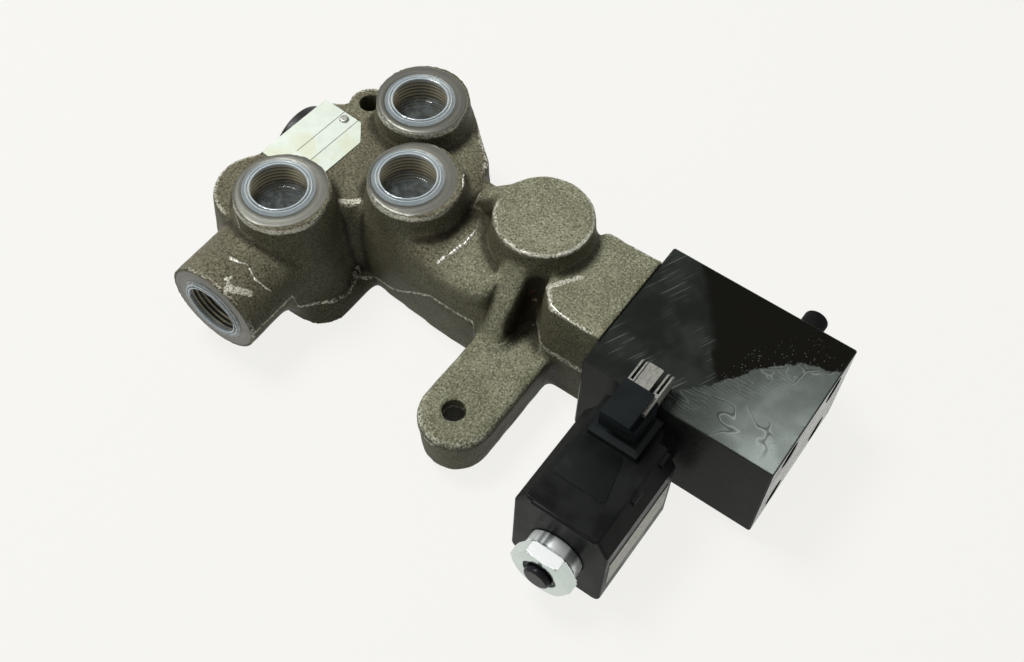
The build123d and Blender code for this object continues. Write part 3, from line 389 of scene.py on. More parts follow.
def black_block_finish():
    """Black finished steel: dry and scratched, then wet with oil, then under a wrinkled clear film, with a
    painted reflection on the film towards the near corner.
    """
    f = Finish("black_block_film", Specular_IOR_Level=0.06)
    x, y, z = f.axis("X"), f.axis("Y"), f.axis("Z")
    # The film lies behind two nearly straight edges that meet, and the oil in front of it
    wander = f.times(f.minus(f.noise(0.1, 4, 0.6), 0.5), 14.0)
    steep = f.line(x, 1.3, -48.1)
    flat = f.line(x, 0.36, 41.3)
    edge = f.minus(f.math("MINIMUM", steep, flat), y)
    on_top = f.steps(z, BLOCK_TOP_Z - 0.35, BLOCK_TOP_Z - 0.1)
    film = f.times(f.steps(f.plus(edge, wander), -0.5, 0.7), on_top)
    dry_edge = f.line(y, 0.72, f.plus(x, wander))
    wet = f.times(f.steps(dry_edge, 112.0, 117.0), f.minus(1.0, film), on_top)
    haze = f.blots(0.35, 0.7, 0.05, 3, 0.6)
    f.base(f.mix(haze, (0.0135, 0.0155, 0.0135), (0.027, 0.031, 0.027)))
    f.paint(wet, (0.0075, 0.0072, 0.0055))
    # Painted reflection: the film is painted paler towards the near corner, as a sheen
    along = f.times(f.minus(x, BLOCK_X1), 1.35)
    across = f.times(f.minus(y, BLOCK_Y0), 0.85)
    away = f.math("SQRT", f.plus(f.times(along, along), f.times(across, across)))
    painted_sheen = f.steps(f.line(wander, 1.1, away), 80.0, 0.0)
    smudges = f.steps(f.noise(0.08, 1.5, 0.5, place=f.bent(0.05, 7.0)), 0.35, 0.65, 0.72, 1.08)
    painted_sheen = f.times(film, painted_sheen, smudges, f.line(painted_sheen, 0.95, 0.05))
    f.paint(painted_sheen, (0.33, 0.375, 0.345))
    # Scratches on the dry part
    scratch_place = f.combine(f.times(f.line(y, 2.2, x), 0.016), f.times(f.line(y, -0.45, x), 1.5))
    scratches = f.blots(0.62, 0.67, 1.0, 1.5, place=scratch_place)
    scratches = f.times(scratches, f.blots(0.42, 0.54, 0.05, 2))
    scratches = f.times(scratches, on_top, f.minus(1.0, f.most(film, wet)))
    f.paint(f.times(scratches, 0.5), (0.15, 0.16, 0.145))
    # Wrinkles of the film
    bent = f.bent(0.05, 7.0)
    crease_noise = f.noise(0.07, 1.0, 0.5, place=bent)
    some = f.blots(0.44, 0.56, 0.06, 1)
    creases = f.times(f.ridge(crease_noise, 0.5, 0.013), some)
    folds = f.times(f.ridge(crease_noise, 0.525, 0.02), some, film)
    inward = f.plus(edge, wander)
    fans = f.ridge(f.noise(0.26, 1.0, 0.5, place=bent, stretch=(0.5, 1.5, 1.0)), 0.5, 0.03)
    fans = f.times(fans, f.steps(inward, 18.0, 3.0), f.blots(0.42, 0.54, 0.07, 1))
    wavy = f.math("SINE", f.times(f.axis("Y", f.bent(0.09, 1.6)), 4.6))
    ripples = f.times(f.ridge(wavy, 1.0, 0.45), f.steps(inward, 22.0, 8.0))
    ripples = f.times(ripples, f.blots(0.52, 0.42, 0.06, 1))
    wrinkles = f.most(creases, f.times(fans, 0.75), f.times(ripples, 0.4))
    wrinkles = f.times(wrinkles, film)
    f.paint(f.times(folds, 0.55), (0.012, 0.013, 0.012))
    # The pale creases are painted stronger where the painted reflection lies.
    f.paint(f.times(wrinkles, f.line(painted_sheen, 0.45, 0.24)), (0.4, 0.44, 0.41))
    # Bubbles in the oil beside it
    near_film = f.times(f.steps(inward, -18.0, -4.0), f.blots(0.38, 0.5, 0.09, 2), on_top)
    near_film = f.times(near_film, f.steps(x, 74.0, 84.0))
    bubbles = f.times(f.steps(f.cells(0.85), 0.2, 0.1), near_film)
    f.paint(f.times(bubbles, 0.7), (0.25, 0.27, 0.25))
    rough = f.steps(haze, 0.0, 1.0, 0.27, 0.36)
    rough = f.line(wet, -0.15, rough)
    rough = f.line(film, -0.06, rough)
    on_end = f.steps(x, BLOCK_X1 - 0.3, BLOCK_X1 - 0.1)
    f.set("Roughness", f.line(on_end, -0.17, rough))
    f.bump(f.noise(2.2, 2), 0.02, 0.5)
    f.bump(wrinkles, 0.12, 0.6)
    f.bump(bubbles, 0.25, 0.8)
    f.bump(f.times(on_end, f.noise(0.09, 2, stretch=(1.0, 0.5, 2.5))), 1.2, 0.6)
    return f.material


def coil_finish():
    """Satin moulded plastic of the coil, with painted light: bluer and lighter on the front of the
    connector's foot, where its slope catches the light.
    """
    f = Finish("coil_plastic", Specular_IOR_Level=0.06)
    cloud = f.blots(0.35, 0.65, 0.08, 3, 0.6)
    f.base(f.mix(cloud, (0.0076, 0.0084, 0.0078), (0.0125, 0.0138, 0.0127)))
    y, z = f.axis("Y"), f.axis("Z")
    # Painted light: the front of the foot is painted bluer and lighter, as its slope catching light.
    from_foot = f.math("ABSOLUTE", f.minus(y, 10.5))
    foot = f.times(f.steps(from_foot, 1.6, 1.1), f.steps(z, 45.6, 46.0))
    f.paint(f.times(foot, 0.5), (0.02, 0.026, 0.027))
    tower = f.times(f.steps(y, 11.0, 12.0), f.steps(z, 47.0, 48.0))
    f.paint(f.times(tower, 0.7), (0.013, 0.0165, 0.0175))
    dust = f.blots(0.68, 0.75, 1.4, 3, 0.7)
    f.paint(f.times(dust, 0.15), (0.12, 0.12, 0.11))
    f.set("Roughness", f.steps(cloud, 0, 1, 0.27, 0.38))
    f.bump(f.noise(2.5, 2, 0.6), 0.025, 0.6)
    return f.material


def plastic_finish(name, low, high, rough, gloss=0.35):
    """Moulded plastic with a faint texture, handling marks and dust."""
    f = Finish(name, Specular_IOR_Level=gloss)
    cloud = f.blots(0.35, 0.65, 0.08, 3, 0.6)
    dust = f.blots(0.66, 0.74, 1.4, 3, 0.7)
    f.base(f.mix(cloud, low, high))
    f.paint(f.times(dust, 0.12), (0.12, 0.12, 0.11))
    f.set("Roughness", f.steps(cloud, 0, 1, rough * 0.85, rough * 1.2))
    f.bump(f.noise(2.5, 2, 0.6), 0.03, 0.6)
    return f.material


def placed(name, data):
    """A new object in the scene."""
    obj = bpy.data.objects.new(name, data)
    bpy.context.scene.collection.objects.link(obj)
    return obj


def edit(mesh, operation, kind, **settings):
    """Runs an operation on all the faces or points of a mesh."""
    work = bmesh.new()
    work.from_mesh(mesh)
    operation(work, **{kind: getattr(work, kind)}, **settings)
    work.to_mesh(mesh)
    work.free()


def to_object(name, verts_mm, faces, material, slot, smooth_angle):
    """A new piece from points in millimetres."""
    mesh = bpy.data.meshes.new(name)
    mesh.from_pydata([Vector(v) * MM for v in verts_mm], [], faces)
    return add_piece(name, mesh, material, smooth_angle)


def add_piece(name, mesh, material, smooth_angle):
    """A new piece on the fixed body, with its faces turned outwards."""
    mesh.validate()
    edit(mesh, bmesh.ops.recalc_face_normals, "faces")
    mesh.shade_smooth()
    mesh.set_sharp_from_angle(angle=math.radians(smooth_angle))
    mesh.materials.clear()
    mesh.materials.append(material)
    obj = placed(name, mesh)
    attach(obj, "root")
    return obj


def add_values(mesh, values):
    """Named numbers for the material, one for each point."""
    for name, value in values.items():
        layer = mesh.attributes.new(name, "FLOAT", "POINT")
        layer.data.foreach_set("value", np.asarray(value, np.float32))


def skinned(rows):
    """Points and faces of a closed tube: rows of as many points, each row a ring joined to the next."""
    count = len(rows[0])
    faces = [tuple(range(count)), tuple(range((len(rows) - 1) * count, len(rows) * count))]
    for low in range(0, (len(rows) - 1) * count, count):
        for index in range(count):
            after = (index + 1) % count
            faces.append((low + index, low + after, low + count + after, low + count + index))
    return [point for row in rows for point in row], faces


def circle(count):
    """Cosine and sine of evenly spaced turns."""
    angles = [2 * math.pi * step / count for step in range(count)]
    return [(math.cos(angle), math.sin(angle)) for angle in angles]


AROUND = 96                      # steps round a turned piece


def turned(name, profile, origin, direction, material, slot, closed=True, smooth_angle=30, cut=None):
    """A ring or cup: (radius, height) points swept about an axis, both kept for the material."""
    turn = Vector((0, 0, 1)).rotation_difference(Vector(direction)).to_matrix()
    verts, faces, radii, heights, rows = [], [], [], [], []
    for step, (cos, sin) in enumerate(circle(AROUND)):
        rows.append([])
        for index, (radius, height) in enumerate(profile):
            if step and radius == 0:
                rows[-1].append(rows[0][index])
                continue
            rows[-1].append(len(verts))
            reach = cut(step, radius, height) if cut else radius
            verts.append(turn @ Vector((reach * cos, reach * sin, height)) + Vector(origin))
            radii.append(radius)
            heights.append(height)
    count = len(profile)
    for here, there in zip(rows, rows[1:] + rows[:1]):
        for index in range(count if closed else count - 1):
            after = (index + 1) % count
            corners = here[index], there[index], there[after], here[after]
            faces.append(tuple(dict.fromkeys(corners)))
    obj = to_object(name, verts, faces, material, slot, smooth_angle)
    add_values(obj.data, {"ring_radius": radii, "ring_height": heights})
    return obj


# The cast skin

SKIN_VOXEL = 1.0                 # mm
FIRST_ROUNDS = 4                 # smoothing that every free point takes
HOLLOW_ROUNDS = 19               # further smoothing, of hollow corners
EDGE_KEEP = 0.1                  # share of the further smoothing that sharp edges take
BROAD_ROUNDS = 65                # smoothing that tells valleys from ridges
BASE_ROUNDS = 9                  # smoothing of the base's outline
STEP_SHARE = 0.55                # how far a round moves a point towards its neighbours' middle
WAVINESS = 0.2                   # mm
WAVES = (0.13, 1.0), (0.37, 0.5) # how fine the waves are, per mm, and their shares
BASE_Z = 0.6                     # what lies lower belongs to the base, mm


def remeshed(node, voxel):
    """The node's mesh rebuilt from even quads."""
    mesh = node.data.copy()
    edit(mesh, bmesh.ops.remove_doubles, "verts", dist=1e-6)
    source = placed("skin_source", mesh)
    remesh = source.modifiers.new("even", "REMESH")
    remesh.mode = "VOXEL"
    remesh.voxel_size = voxel * MM
    graph = bpy.context.evaluated_depsgraph_get()
    result = bpy.data.meshes.new_from_object(source.evaluated_get(graph))
    bpy.data.objects.remove(source)
    return result


def values_of(items, name, width):
    """A mesh's own numbers as rows of that width."""
    values = np.empty(len(items) * width, np.float32)
    items.foreach_get(name, values)
    return values.reshape(-1, width).astype(float)


def smoothed(points, edges, rounds, free):
    """Points averaged with their neighbours; free is the share of it that each axis of a point takes."""
    loose = free.max(axis=1) > 0
    used = edges[loose[edges[:, 0]] | loose[edges[:, 1]]]
    a, b = used[:, 0], used[:, 1]
    degree = np.maximum(np.bincount(np.concatenate((a, b)), minlength=len(points)), 1)[:, None]
    result = points.copy()
    for _ in range(rounds):
        total = np.zeros_like(result)
        for axis in range(3):
            total[:, axis] = np.bincount(a, result[b, axis], len(points))
            total[:, axis] += np.bincount(b, result[a, axis], len(points))
        result += STEP_SHARE * free * (total / degree - result)
    return result


def smoothstep(value, low, high):
    share = np.clip((value - low) / (high - low), 0, 1)
    return share * share * (3 - 2 * share)


def seam_height(x, y):
    """Height of the moulding seam: it dips under ports 2 and 3 and is level elsewhere."""
    dip = 12.6 - 5.2 * smoothstep(x, -78, -70) + 19.1 * smoothstep(x, -64, -33)
    front = np.clip(dip, 0, 26.5)
    front = front + (26.8 - front) * (1 - smoothstep(y, 1.0, 6.0))
    return front + (27.0 - front) * smoothstep(y, 46, 66)


# Each port: the axes across it, its middle on them, the axis along it, its face there and the way in
BORES = [((0, 1), middle, 2, PORT_FACE_Z, -1.0) for middle in PORTS.values()]
BORES.append(((0, 2), (SIDE_PORT_X, SIDE_PORT_Z), 1, SIDE_FACE_Y, 1.0))
# The same for the ports' bosses, and each boss's radius
BOSSES = [(((0, 1), middle, 2, PORT_FACE_Z, -1.0), PORT_BOSS_R) for middle in PORT_BOSSES.values()]
BOSSES.append((BORES[-1], SIDE_BOSS_R))
BORE_ZONE = 13.6, 22.0           # radius and depth of what stays as machined in a port, mm
BOLT_ZONE = 5.2                  # radius of what stays as machined round a bolt hole, mm
FACE_ZONE = 1.3, 0.8             # a port's face: how far from the boss's edge it ends, and its depth, mm
END_ZONE = 0.6                   # depth of what stays as machined at the neck's end, mm
RIM, SHARP_RIM = 1.25, 0.12      # rounding of a boss's rim in the source, and what is left of it, mm
TINY = 1e-6


def from_axis(points, port):
    """Both offsets from a port's axis, the distance from it, and the depth under the port's face, in mm."""
    (first, second), (middle_a, middle_b), along, face, inward = port
    a, b = points[:, first] - middle_a, points[:, second] - middle_b
    return a, b, np.hypot(a, b), (points[:, along] - face) * inward


def freedom(points):
    """How far each point may be smoothed, by axis: 0 on machined surfaces, level on the base."""
    x, y, z = points.T
    fixed = x > NECK_END_X - END_ZONE
    for hole_x, hole_y in ((0.0, 0.0), EAR):
        fixed |= np.hypot(x - hole_x, y - hole_y) < BOLT_ZONE
    for port in BORES:
        _, _, away, below = from_axis(points, port)
        fixed |= (away < BORE_ZONE[0]) & (below < BORE_ZONE[1])
    for boss, boss_r in BOSSES:
        _, _, away, below = from_axis(points, boss)
        fixed |= (away < boss_r - FACE_ZONE[0]) & (below < FACE_ZONE[1])
    free = np.repeat(1.0 - fixed[:, None], 3, axis=1)
    free[:, 2] *= z > BASE_Z
    return free


def crisp_rims(points):
    """The rounded rims of the port bosses drawn out to the sharper edge that machining leaves."""
    result = points.copy()
    for boss, boss_r in BOSSES:
        (first, second), _, along, _, inward = boss
        a, b, away, below = from_axis(points, boss)
        out, down = away - (boss_r - RIM), RIM - below
        angle = np.degrees(np.arctan2(np.maximum(out, 0), np.maximum(down, TINY)))
        near = (away > boss_r - 1.9) & (away < boss_r + 0.2) & (below > -0.3) & (below < RIM)
        over, share = angle < 45, angle / 45
        new_away = np.where(over, boss_r - RIM + 1.05 * share, boss_r - SHARP_RIM)
        new_below = np.where(over, 0.02 + 0.1 * share ** 3, SHARP_RIM + (RIM - SHARP_RIM) * (share - 1))
        new_away = np.where(out < 0, away, new_away)
        push = np.where(near, new_away / np.maximum(away, TINY), 1.0)
        result[:, first] += a * (push - 1)
        result[:, second] += b * (push - 1)
        result[:, along] += np.where(near, (new_below - below) * inward, 0.0)
    return result


def port_measures(points):
    """Distance from the nearest port's axis, and depth under its face, in mm."""
    radius = np.full(len(points), 99.0)
    depth = radius.copy()
    for port in BORES:
        _, _, away, below = from_axis(points, port)
        nearer = np.maximum(away - 20, 0) + np.abs(below) < np.maximum(radius - 20, 0) + np.abs(depth)
        radius = np.where(nearer, away, radius)
        depth = np.where(nearer, below, depth)
    return radius, depth


SCRAPES = (                      # rubbed patches: ends and half width, mm
    ((-89.6, -18.1, 44.8), (-87.4, -16.2, 43.6), 1.5),
    ((-87.4, -16.2, 43.6), (-84.4, -13.6, 40.9), 1.2),
    ((-91.5, -17.0, 45.6), (-90.6, -19.5, 45.0), 1.0),
    ((-93.5, -16.8, 46.6), (-92.5, -14.8, 46.3), 0.7),
    ((-98.0, -8.8, 47.3), (-95.5, -8.4, 46.9), 0.8),
    ((-109.3, 6.7, 53.8), (-105.9, 4.3, 52.7), 0.5),
    ((-105.9, 4.3, 52.7), (-103.3, 3.0, 49.4), 0.5),
    ((-83.5, 36.5, 46.5), (-77.3, 41.8, 46.5), 1.3),
    ((-41.5, 35.2, 44.5), (-36.5, 38.2, 44.5), 1.3),
    ((5.9, 49.1, 50.7), (9.6, 54.1, 50.7), 1.1),
    ((9.6, 54.1, 50.7), (14.0, 60.8, 50.7), 0.9),
    ((-80.2, 72.6, 56.6), (-74.8, 74.4, 57.0), 0.8),
    ((-72.5, 76.0, 56.8), (-69.5, 78.8, 57.2), 0.6),
)
OIL_AND_SHADE = (                         # where oil has gathered and shade is painted: ends and reach, mm
    ((0.5, 40.0, 30.0), (-1.0, 52.0, 44.0), 8.5),
    ((0.8, 37.5, 29.5), (0.5, 40.0, 30.0), 4.5),
)
# Specks of paint in the oil
SPECKS = (-1.2, 50.2, 41.5), (0.6, 50.6, 36.0), (3.4, 50.4, 31.8), (6.6, 49.5, 27.5), (4.8, 47.9, 22.3)
FLECKS = [(speck, speck, 1.0) for speck in SPECKS]
SOFTER = (                       # corners that are rounder than the source's: box, fade and rounds
    ((-72.0, 22.0, 28.0), (-17.0, 44.0, 50.0), 5.0, 188),
    ((-90.0, 24.0, 14.0), (-66.0, 40.0, 42.0), 4.0, 145),
    ((-130.0, -12.0, 3.0), (-22.0, 60.0, 19.0), 3.0, 94),
)


def near_any(points, segments, inner, outer):
    """1 near any of the segments and 0 further off; inner and outer are shares of a segment's own reach."""
    share = np.zeros(len(points))
    for start, end, reach in segments:
        start, line = np.array(start), np.subtract(end, start)
        along = np.clip(((points - start) @ line) / max(line @ line, TINY), 0, 1)
        away = np.linalg.norm(points - (start + along[:, None] * line), axis=1)
        share = np.maximum(share, 1 - smoothstep(away, inner * reach, outer * reach))
    return share


def widened(points):
    """The port bores opened out, to make room for the thread pieces."""
    result = points.copy()
    for port in BORES:
        a, b, away, below = from_axis(points, port)
        inside = (away < THREAD_CORE_R + 1.2) & (below < THREAD_DEPTH)
        push = np.where(inside, (THREAD_CORE_R + 1.85) / np.maximum(away, TINY), 1.0)
        result[:, port[0][0]] += a * (push - 1)
        result[:, port[0][1]] += b * (push - 1)
    return result


def rubbed_rims(points):
    """Share of rubbing along the front edges of the port bosses and of the blank boss."""
    x, y, z = points.T
    share = np.zeros(len(points))
    below = PORT_FACE_Z - z
    band = smoothstep(below, 0.25, 0.7) * (1 - smoothstep(below, 1.6, 3.4))
    for middle_x, middle_y in PORT_BOSSES.values():
        dx, dy = x - middle_x, y - middle_y
        away = np.maximum(np.hypot(dx, dy), TINY)
        facing = smoothstep((0.35 * dx - 0.94 * dy) / away, 0.1, 0.75)
        on_rim = (away > PORT_BOSS_R - 1.0) & (away < PORT_BOSS_R + 1.2)
        share = np.maximum(share, band * facing * on_rim)
    dx, dy = x - BLANK[0], y - BLANK[1]
    away = np.maximum(np.hypot(dx, dy), TINY)
    facing = smoothstep((0.8 * dx - 0.6 * dy) / away, -0.1, 0.9)
    band = 1 - smoothstep(BLANK_TOP_Z - z, 0.9, 1.8)
    on_rim = (away > BLANK_R - 1.2) & (away < BLANK_R + 1.0) & (z > BLANK_TOP_Z - 3)
    return np.maximum(share, 0.8 * band * facing * on_rim)


def from_seam(points, normals):
    """Distance from the moulding seam along the wall, in mm; it is far where the lug hides the seam."""
    x, y, z = points.T
    on_neck = smoothstep(x, 0.0, 4.0) * (1 - smoothstep(y, 46, 52))
    slope = np.sqrt(np.clip(1 - normals[:, 2] ** 2, 0.04, 1))
    hidden = smoothstep(x, -16, -14) * (1 - smoothstep(x, 0, 4)) * (1 - smoothstep(y, 60, 66))
    return (z - seam_height(x, y)) / slope / (1 + on_neck) + 9 * hidden


def set_points(mesh, points):
    """Moves the mesh's points and returns its new normals."""
    mesh.vertices.foreach_set("co", (points * MM).astype(np.float32).ravel())
    mesh.update()
    return values_of(mesh.vertices, "normal", 3)


def cast_skin():
    """The casting with rounded corners, wavy sand-cast walls and places for wear, and for oil with painted
    shade.
    """
    mesh = remeshed(frame["nodes"]["valve_body"], SKIN_VOXEL)
    points = values_of(mesh.vertices, "co", 3) / MM
    edges = np.empty(len(mesh.edges) * 2, np.int32)
    mesh.edges.foreach_get("vertices", edges)
    edges = edges.reshape(-1, 2)
    free = freedom(points)
    even = smoothed(points, edges, FIRST_ROUNDS, free)
    normals = set_points(mesh, even)

    soft = smoothed(even, edges, HOLLOW_ROUNDS, free)
    out = ((soft - even) * normals).sum(1)
    shaped = even + np.where(out < 0, EDGE_KEEP, 1.0)[:, None] * (soft - even)
    broad = ((smoothed(even, edges, BROAD_ROUNDS, np.ones_like(free)) - even) * normals).sum(1)
    wave = np.array([sum(part * noise.noise(Vector(p) * fine) for fine, part in WAVES) for p in shaped])
    shaped += free * normals * (WAVINESS * wave)[:, None]
    worn_share = np.ones(len(points))
    for low, high, fade, rounds in SOFTER:
        share = np.ones(len(points))
        for axis in range(3):
            share *= smoothstep(shaped[:, axis], low[axis] - fade, low[axis])
            share *= 1 - smoothstep(shaped[:, axis], high[axis], high[axis] + fade)
        shaped = smoothed(shaped, edges, rounds, free * share[:, None])
        worn_share *= 1 - share
    shaped = smoothed(shaped, edges, BASE_ROUNDS, free * (points[:, 2] < BASE_Z)[:, None])
    shaped = crisp_rims(widened(shaped))
    upward = set_points(mesh, shaped)[:, 2]

    x, _, z = shaped.T
    # Painted shade: the low walls count as not facing up, so they take the darker wall colour.
    shaded_low_walls = (1 - smoothstep(z, 17, 21)) * (1 - smoothstep(x, -22, -16))
    radius, depth = port_measures(shaped)
    values = {
        "wear": np.clip(-out / 0.75, 0, 1) * worn_share,
        "cavity": np.clip(broad / 1.6, 0, 1) * free[:, 0],
        "upward": upward * (1 - shaded_low_walls),
        "scrape": near_any(shaped, SCRAPES, 0.2, 1.9),
        "oil_and_shade": near_any(shaped, OIL_AND_SHADE, 0.45, 1.0),
        "fleck": near_any(shaped, FLECKS, 0.6, 1.8),
        "rim": rubbed_rims(shaped),
        "seam": from_seam(shaped, normals),
        "ring_radius": radius,
        "face_depth": depth,
    }
    add_values(mesh, values)
    skin = add_piece("casting_skin", mesh, casting_finish(), 180)
    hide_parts("valve_body")
    return skin


def rim_arc(centre, radius, height, first, last):
    """Fourteen points along a rim, angles in degrees."""
    angles = [math.radians(first + (last - first) * step / 13) for step in range(14)]
    return [(centre[0] + radius * math.cos(a), centre[1] + radius * math.sin(a), height) for a in angles]


# Flash ridges and rubbed rims: name, points in mm, half width, height
PLATEAU_EDGE = (-36.9, 37.0, 43.8), (-34.4, 44.5, 44.2), (-32.9, 51.4, 44.4), (-33.5, 59.4, 44.5)
SIDE_BOSS_A = (-97.6, -8.8, 47.2), (-95.5, -8.3, 46.9), (-93.2, -7.2, 46.3), (-91.2, -6.5, 45.6)
SIDE_BOSS_B = (-90.4, -7.0, 45.4), (-86.7, -8.5, 42.8), (-83.0, -7.3, 38.8), (-81.7, -6.3, 36.8)
NECK_EDGE = (8.1, 46.8, 50.7), (11.9, 43.9, 50.5), (16.3, 42.6, 50.4), (23.6, 41.9, 50.4)
BEADS = (
    ("plateau", PLATEAU_EDGE, 0.95, 0.7),
    ("side_boss_a", SIDE_BOSS_A, 0.5, 0.4),
    ("side_boss_b", SIDE_BOSS_B, 0.38, 0.3),
    ("blank_rim", rim_arc(BLANK, BLANK_R - 0.45, BLANK_TOP_Z - 0.3, 8, -42), 0.55, 0.16),
    ("blank_rim_front", rim_arc(BLANK, BLANK_R - 0.5, BLANK_TOP_Z - 0.35, -46, -118), 0.28, 0.08),
    ("port_2_rim", ((-47.5, 69.7, 57.5), (-45.7, 67.1, 57.6), (-43.8, 64.4, 57.5)), 0.3, 0.12),
    ("neck_edge", NECK_EDGE, 0.3, 0.15),
)
BEAD_STEP = 0.35                 # mm
BEAD_SINK = 0.06                 # how deep a bead's foot lies in the skin, mm


def beads(skin):
    """Thin irregular ridges laid on the skin."""
    finish = bead_finish()
    points = [v.co / MM for v in skin.data.vertices]
    tree = BVHTree.FromPolygons(points, [tuple(p.vertices) for p in skin.data.polygons])
    for name, route, half_width, height in BEADS:
        samples = []
        for start, end in zip(route, route[1:]):
            start, end = Vector(start), Vector(end)
            count = max(1, round((end - start).length / BEAD_STEP))
            samples += [start.lerp(end, step / count) for step in range(count)]
        samples.append(Vector(route[-1]))
        rows = []
        for index, sample in enumerate(samples):
            place, normal, _, _ = tree.find_nearest(sample)
            before, after = samples[max(index - 1, 0)], samples[min(index + 1, len(samples) - 1)]
            side = (after - before).cross(normal).normalized()
            share = math.sin(math.pi * (index + 0.5) / len(samples)) ** 0.4
            share *= max(0.15, 1.0 + 1.3 * noise.noise(sample * 0.9))
            drift = 0.3 * noise.noise(sample * 0.7 + Vector((7, 3, 1)))
            rows.append([])
            for turn in map(math.radians, range(0, 181, 36)):
                lift = share * height * math.sin(turn) - BEAD_SINK
                sideways = drift + share * half_width * math.cos(turn)
                rows[-1].append(place + side * sideways + normal * lift)
        to_object(f"bead_{name}", *skinned(rows), finish, "cast_iron", 60)


FACE_RING_R = 15.4               # reach of the turned ring round a port's thread, mm


def machined_faces():
    """The entry chamfers and threads of the four ports."""
    finish = turned_finish()
    thread = [(THREAD_CORE_R + 1.9, -0.2)]
    for turn in range(int(THREAD_DEPTH / THREAD_PITCH)):
        low = -1.0 - turn * THREAD_PITCH
        thread.append((THREAD_CORE_R + 1.15, low))
        thread.append((THREAD_CORE_R + 0.05, low - THREAD_PITCH / 2))
    thread.append((THREAD_CORE_R + 1.9, -THREAD_DEPTH))
    ring = [(THREAD_CORE_R + 1.0, -0.4), (THREAD_CORE_R + 2.0, 0.04)]
    ring += [(FACE_RING_R, 0.04), (FACE_RING_R + 0.2, -0.3)]
    places = {number: ((x, y, PORT_FACE_Z), (0, 0, 1)) for number, (x, y) in PORTS.items()}
    places["4"] = ((SIDE_PORT_X, SIDE_FACE_Y, SIDE_PORT_Z), (0, -1, 0))
    for number, (origin, direction) in places.items():
        turned(f"port_{number}_face", ring, origin, direction, finish, "cast_iron")
        turned(f"port_{number}_thread", thread, origin, direction, finish, "cast_iron")
    return places


PLUG_BOTTOM_R, PLUG_CORNER_R, PLUG_CORNER_Z = 8.0, 2.6, -7.1
PLUG_PROFILE = (                 # distance from the axis and height over the port's face, from the brim on
    (10.7, -4.0), (10.75, 0.6), (10.98, 0.98), (11.3, 1.12), (11.65, 1.02), (11.85, 0.75),
    (12.05, 0.72), (12.3, 1.0), (12.6, 1.05), (12.85, 0.85), (13.0, 0.6), (14.0, 0.52),
    (14.18, 0.32), (14.1, 0.07), (11.9, 0.07), (11.75, -0.2), (11.6, -9.6), (11.0, -10.5),
    (9.2, -10.9), (0.0, -10.9),
)


def plugs(places):
    """The four translucent plugs: thin flange, double raised ring, thin cup."""
    finish = clear_finish()
    profile = [(0.0, PLUG_CORNER_Z - PLUG_CORNER_R)]
    for turn in map(math.radians, range(-90, 1, 15)):
        reach, height = PLUG_CORNER_R * math.cos(turn), PLUG_CORNER_R * math.sin(turn)
        profile.append((PLUG_BOTTOM_R + reach, PLUG_CORNER_Z + height))
    profile += PLUG_PROFILE
    for number, (origin, direction) in places.items():
        plug = turned(f"plug_{number}", profile, origin, direction, finish, "clear_plastic", closed=False)
        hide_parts(f"port_plug_{number}")


CORNER_STEPS = 5


def rounded_corners(corners, radius):
    """An outline with its corners rounded, from points listed round it."""
    result = []
    for index, corner in enumerate(corners):
        here = Vector(corner)
        back = (Vector(corners[index - 1]) - here).normalized()
        ahead = (Vector(corners[(index + 1) % len(corners)]) - here).normalized()
        start, end = here + back * radius, here + ahead * radius
        for step in range(CORNER_STEPS + 1):
            t = step / CORNER_STEPS
            result.append(start * (1 - t) ** 2 + here * 2 * t * (1 - t) + end * t ** 2)
    return result


COIL_PAD = ((48.9, -9.9), (48.6, 8.6), (66.6, 9.0), (70.9, -9.8))
COIL_PAD_HEIGHT = 0.35


def coil_pad(finish):
    """The matt raised pad on the coil's flat top."""
    outline = rounded_corners([(x, y, COIL_TOP_Z - 0.1) for x, y in COIL_PAD], 2.0)
    middle = sum(outline, Vector()) / len(outline)
    rows = [
        [middle + (p - middle) * share + Vector((0, 0, height)) for p in outline]
        for share, height in ((1.0, 0.0), (1.0, COIL_PAD_HEIGHT), (0.985, COIL_PAD_HEIGHT + 0.1))
    ]
    to_object("coil_pad", *skinned(rows), finish, "black_plastic", 50)


COIL_LIP = (49.6, -22.6, 44.4), (76.2, -22.6, 44.4)
COIL_LIP_R, COIL_LIP_SIDES = 1.15, 14
COIL_LIP_SIZES = (0.0, 0.2), (0.012, 0.8), (0.035, 1.0), (0.965, 1.0), (0.988, 0.8), (1.0, 0.2)


def coil_lip(finish):
    """The rounded lip along the coil's top front edge, over the hollow that the nut sits in."""
    start, end = map(Vector, COIL_LIP)
    rows = []
    for share, size in COIL_LIP_SIZES:
        middle, reach = start.lerp(end, share), COIL_LIP_R * size
        rows.append([middle + Vector((0, reach * cos, reach * sin)) for cos, sin in circle(COIL_LIP_SIDES)])
    to_object("coil_lip", *skinned(rows), finish, "black_plastic", 60)


NUT_FLATS, NUT_HOLE_R, NUT_COLLAR_TOP = 22.0, 6.9, 5.58
NUT_PROFILE = (                  # reach from the axis and height over the coil; the hexagon cuts the reach
    (NUT_HOLE_R, 5.0), (NUT_HOLE_R, 11.15), (NUT_HOLE_R + 0.25, 11.4), (10.9, 11.4), (11.2, 11.33),
    (11.7, 11.12), (12.2, 10.86), (13.0, 10.4), (13.0, 6.3), (12.3, 5.75), (11.4, 5.6),
    (10.45, 5.55), (10.4, 5.15), (10.8, 4.85), (10.8, 0.4), (10.4, 0.03), (NUT_HOLE_R, 0.03),
)


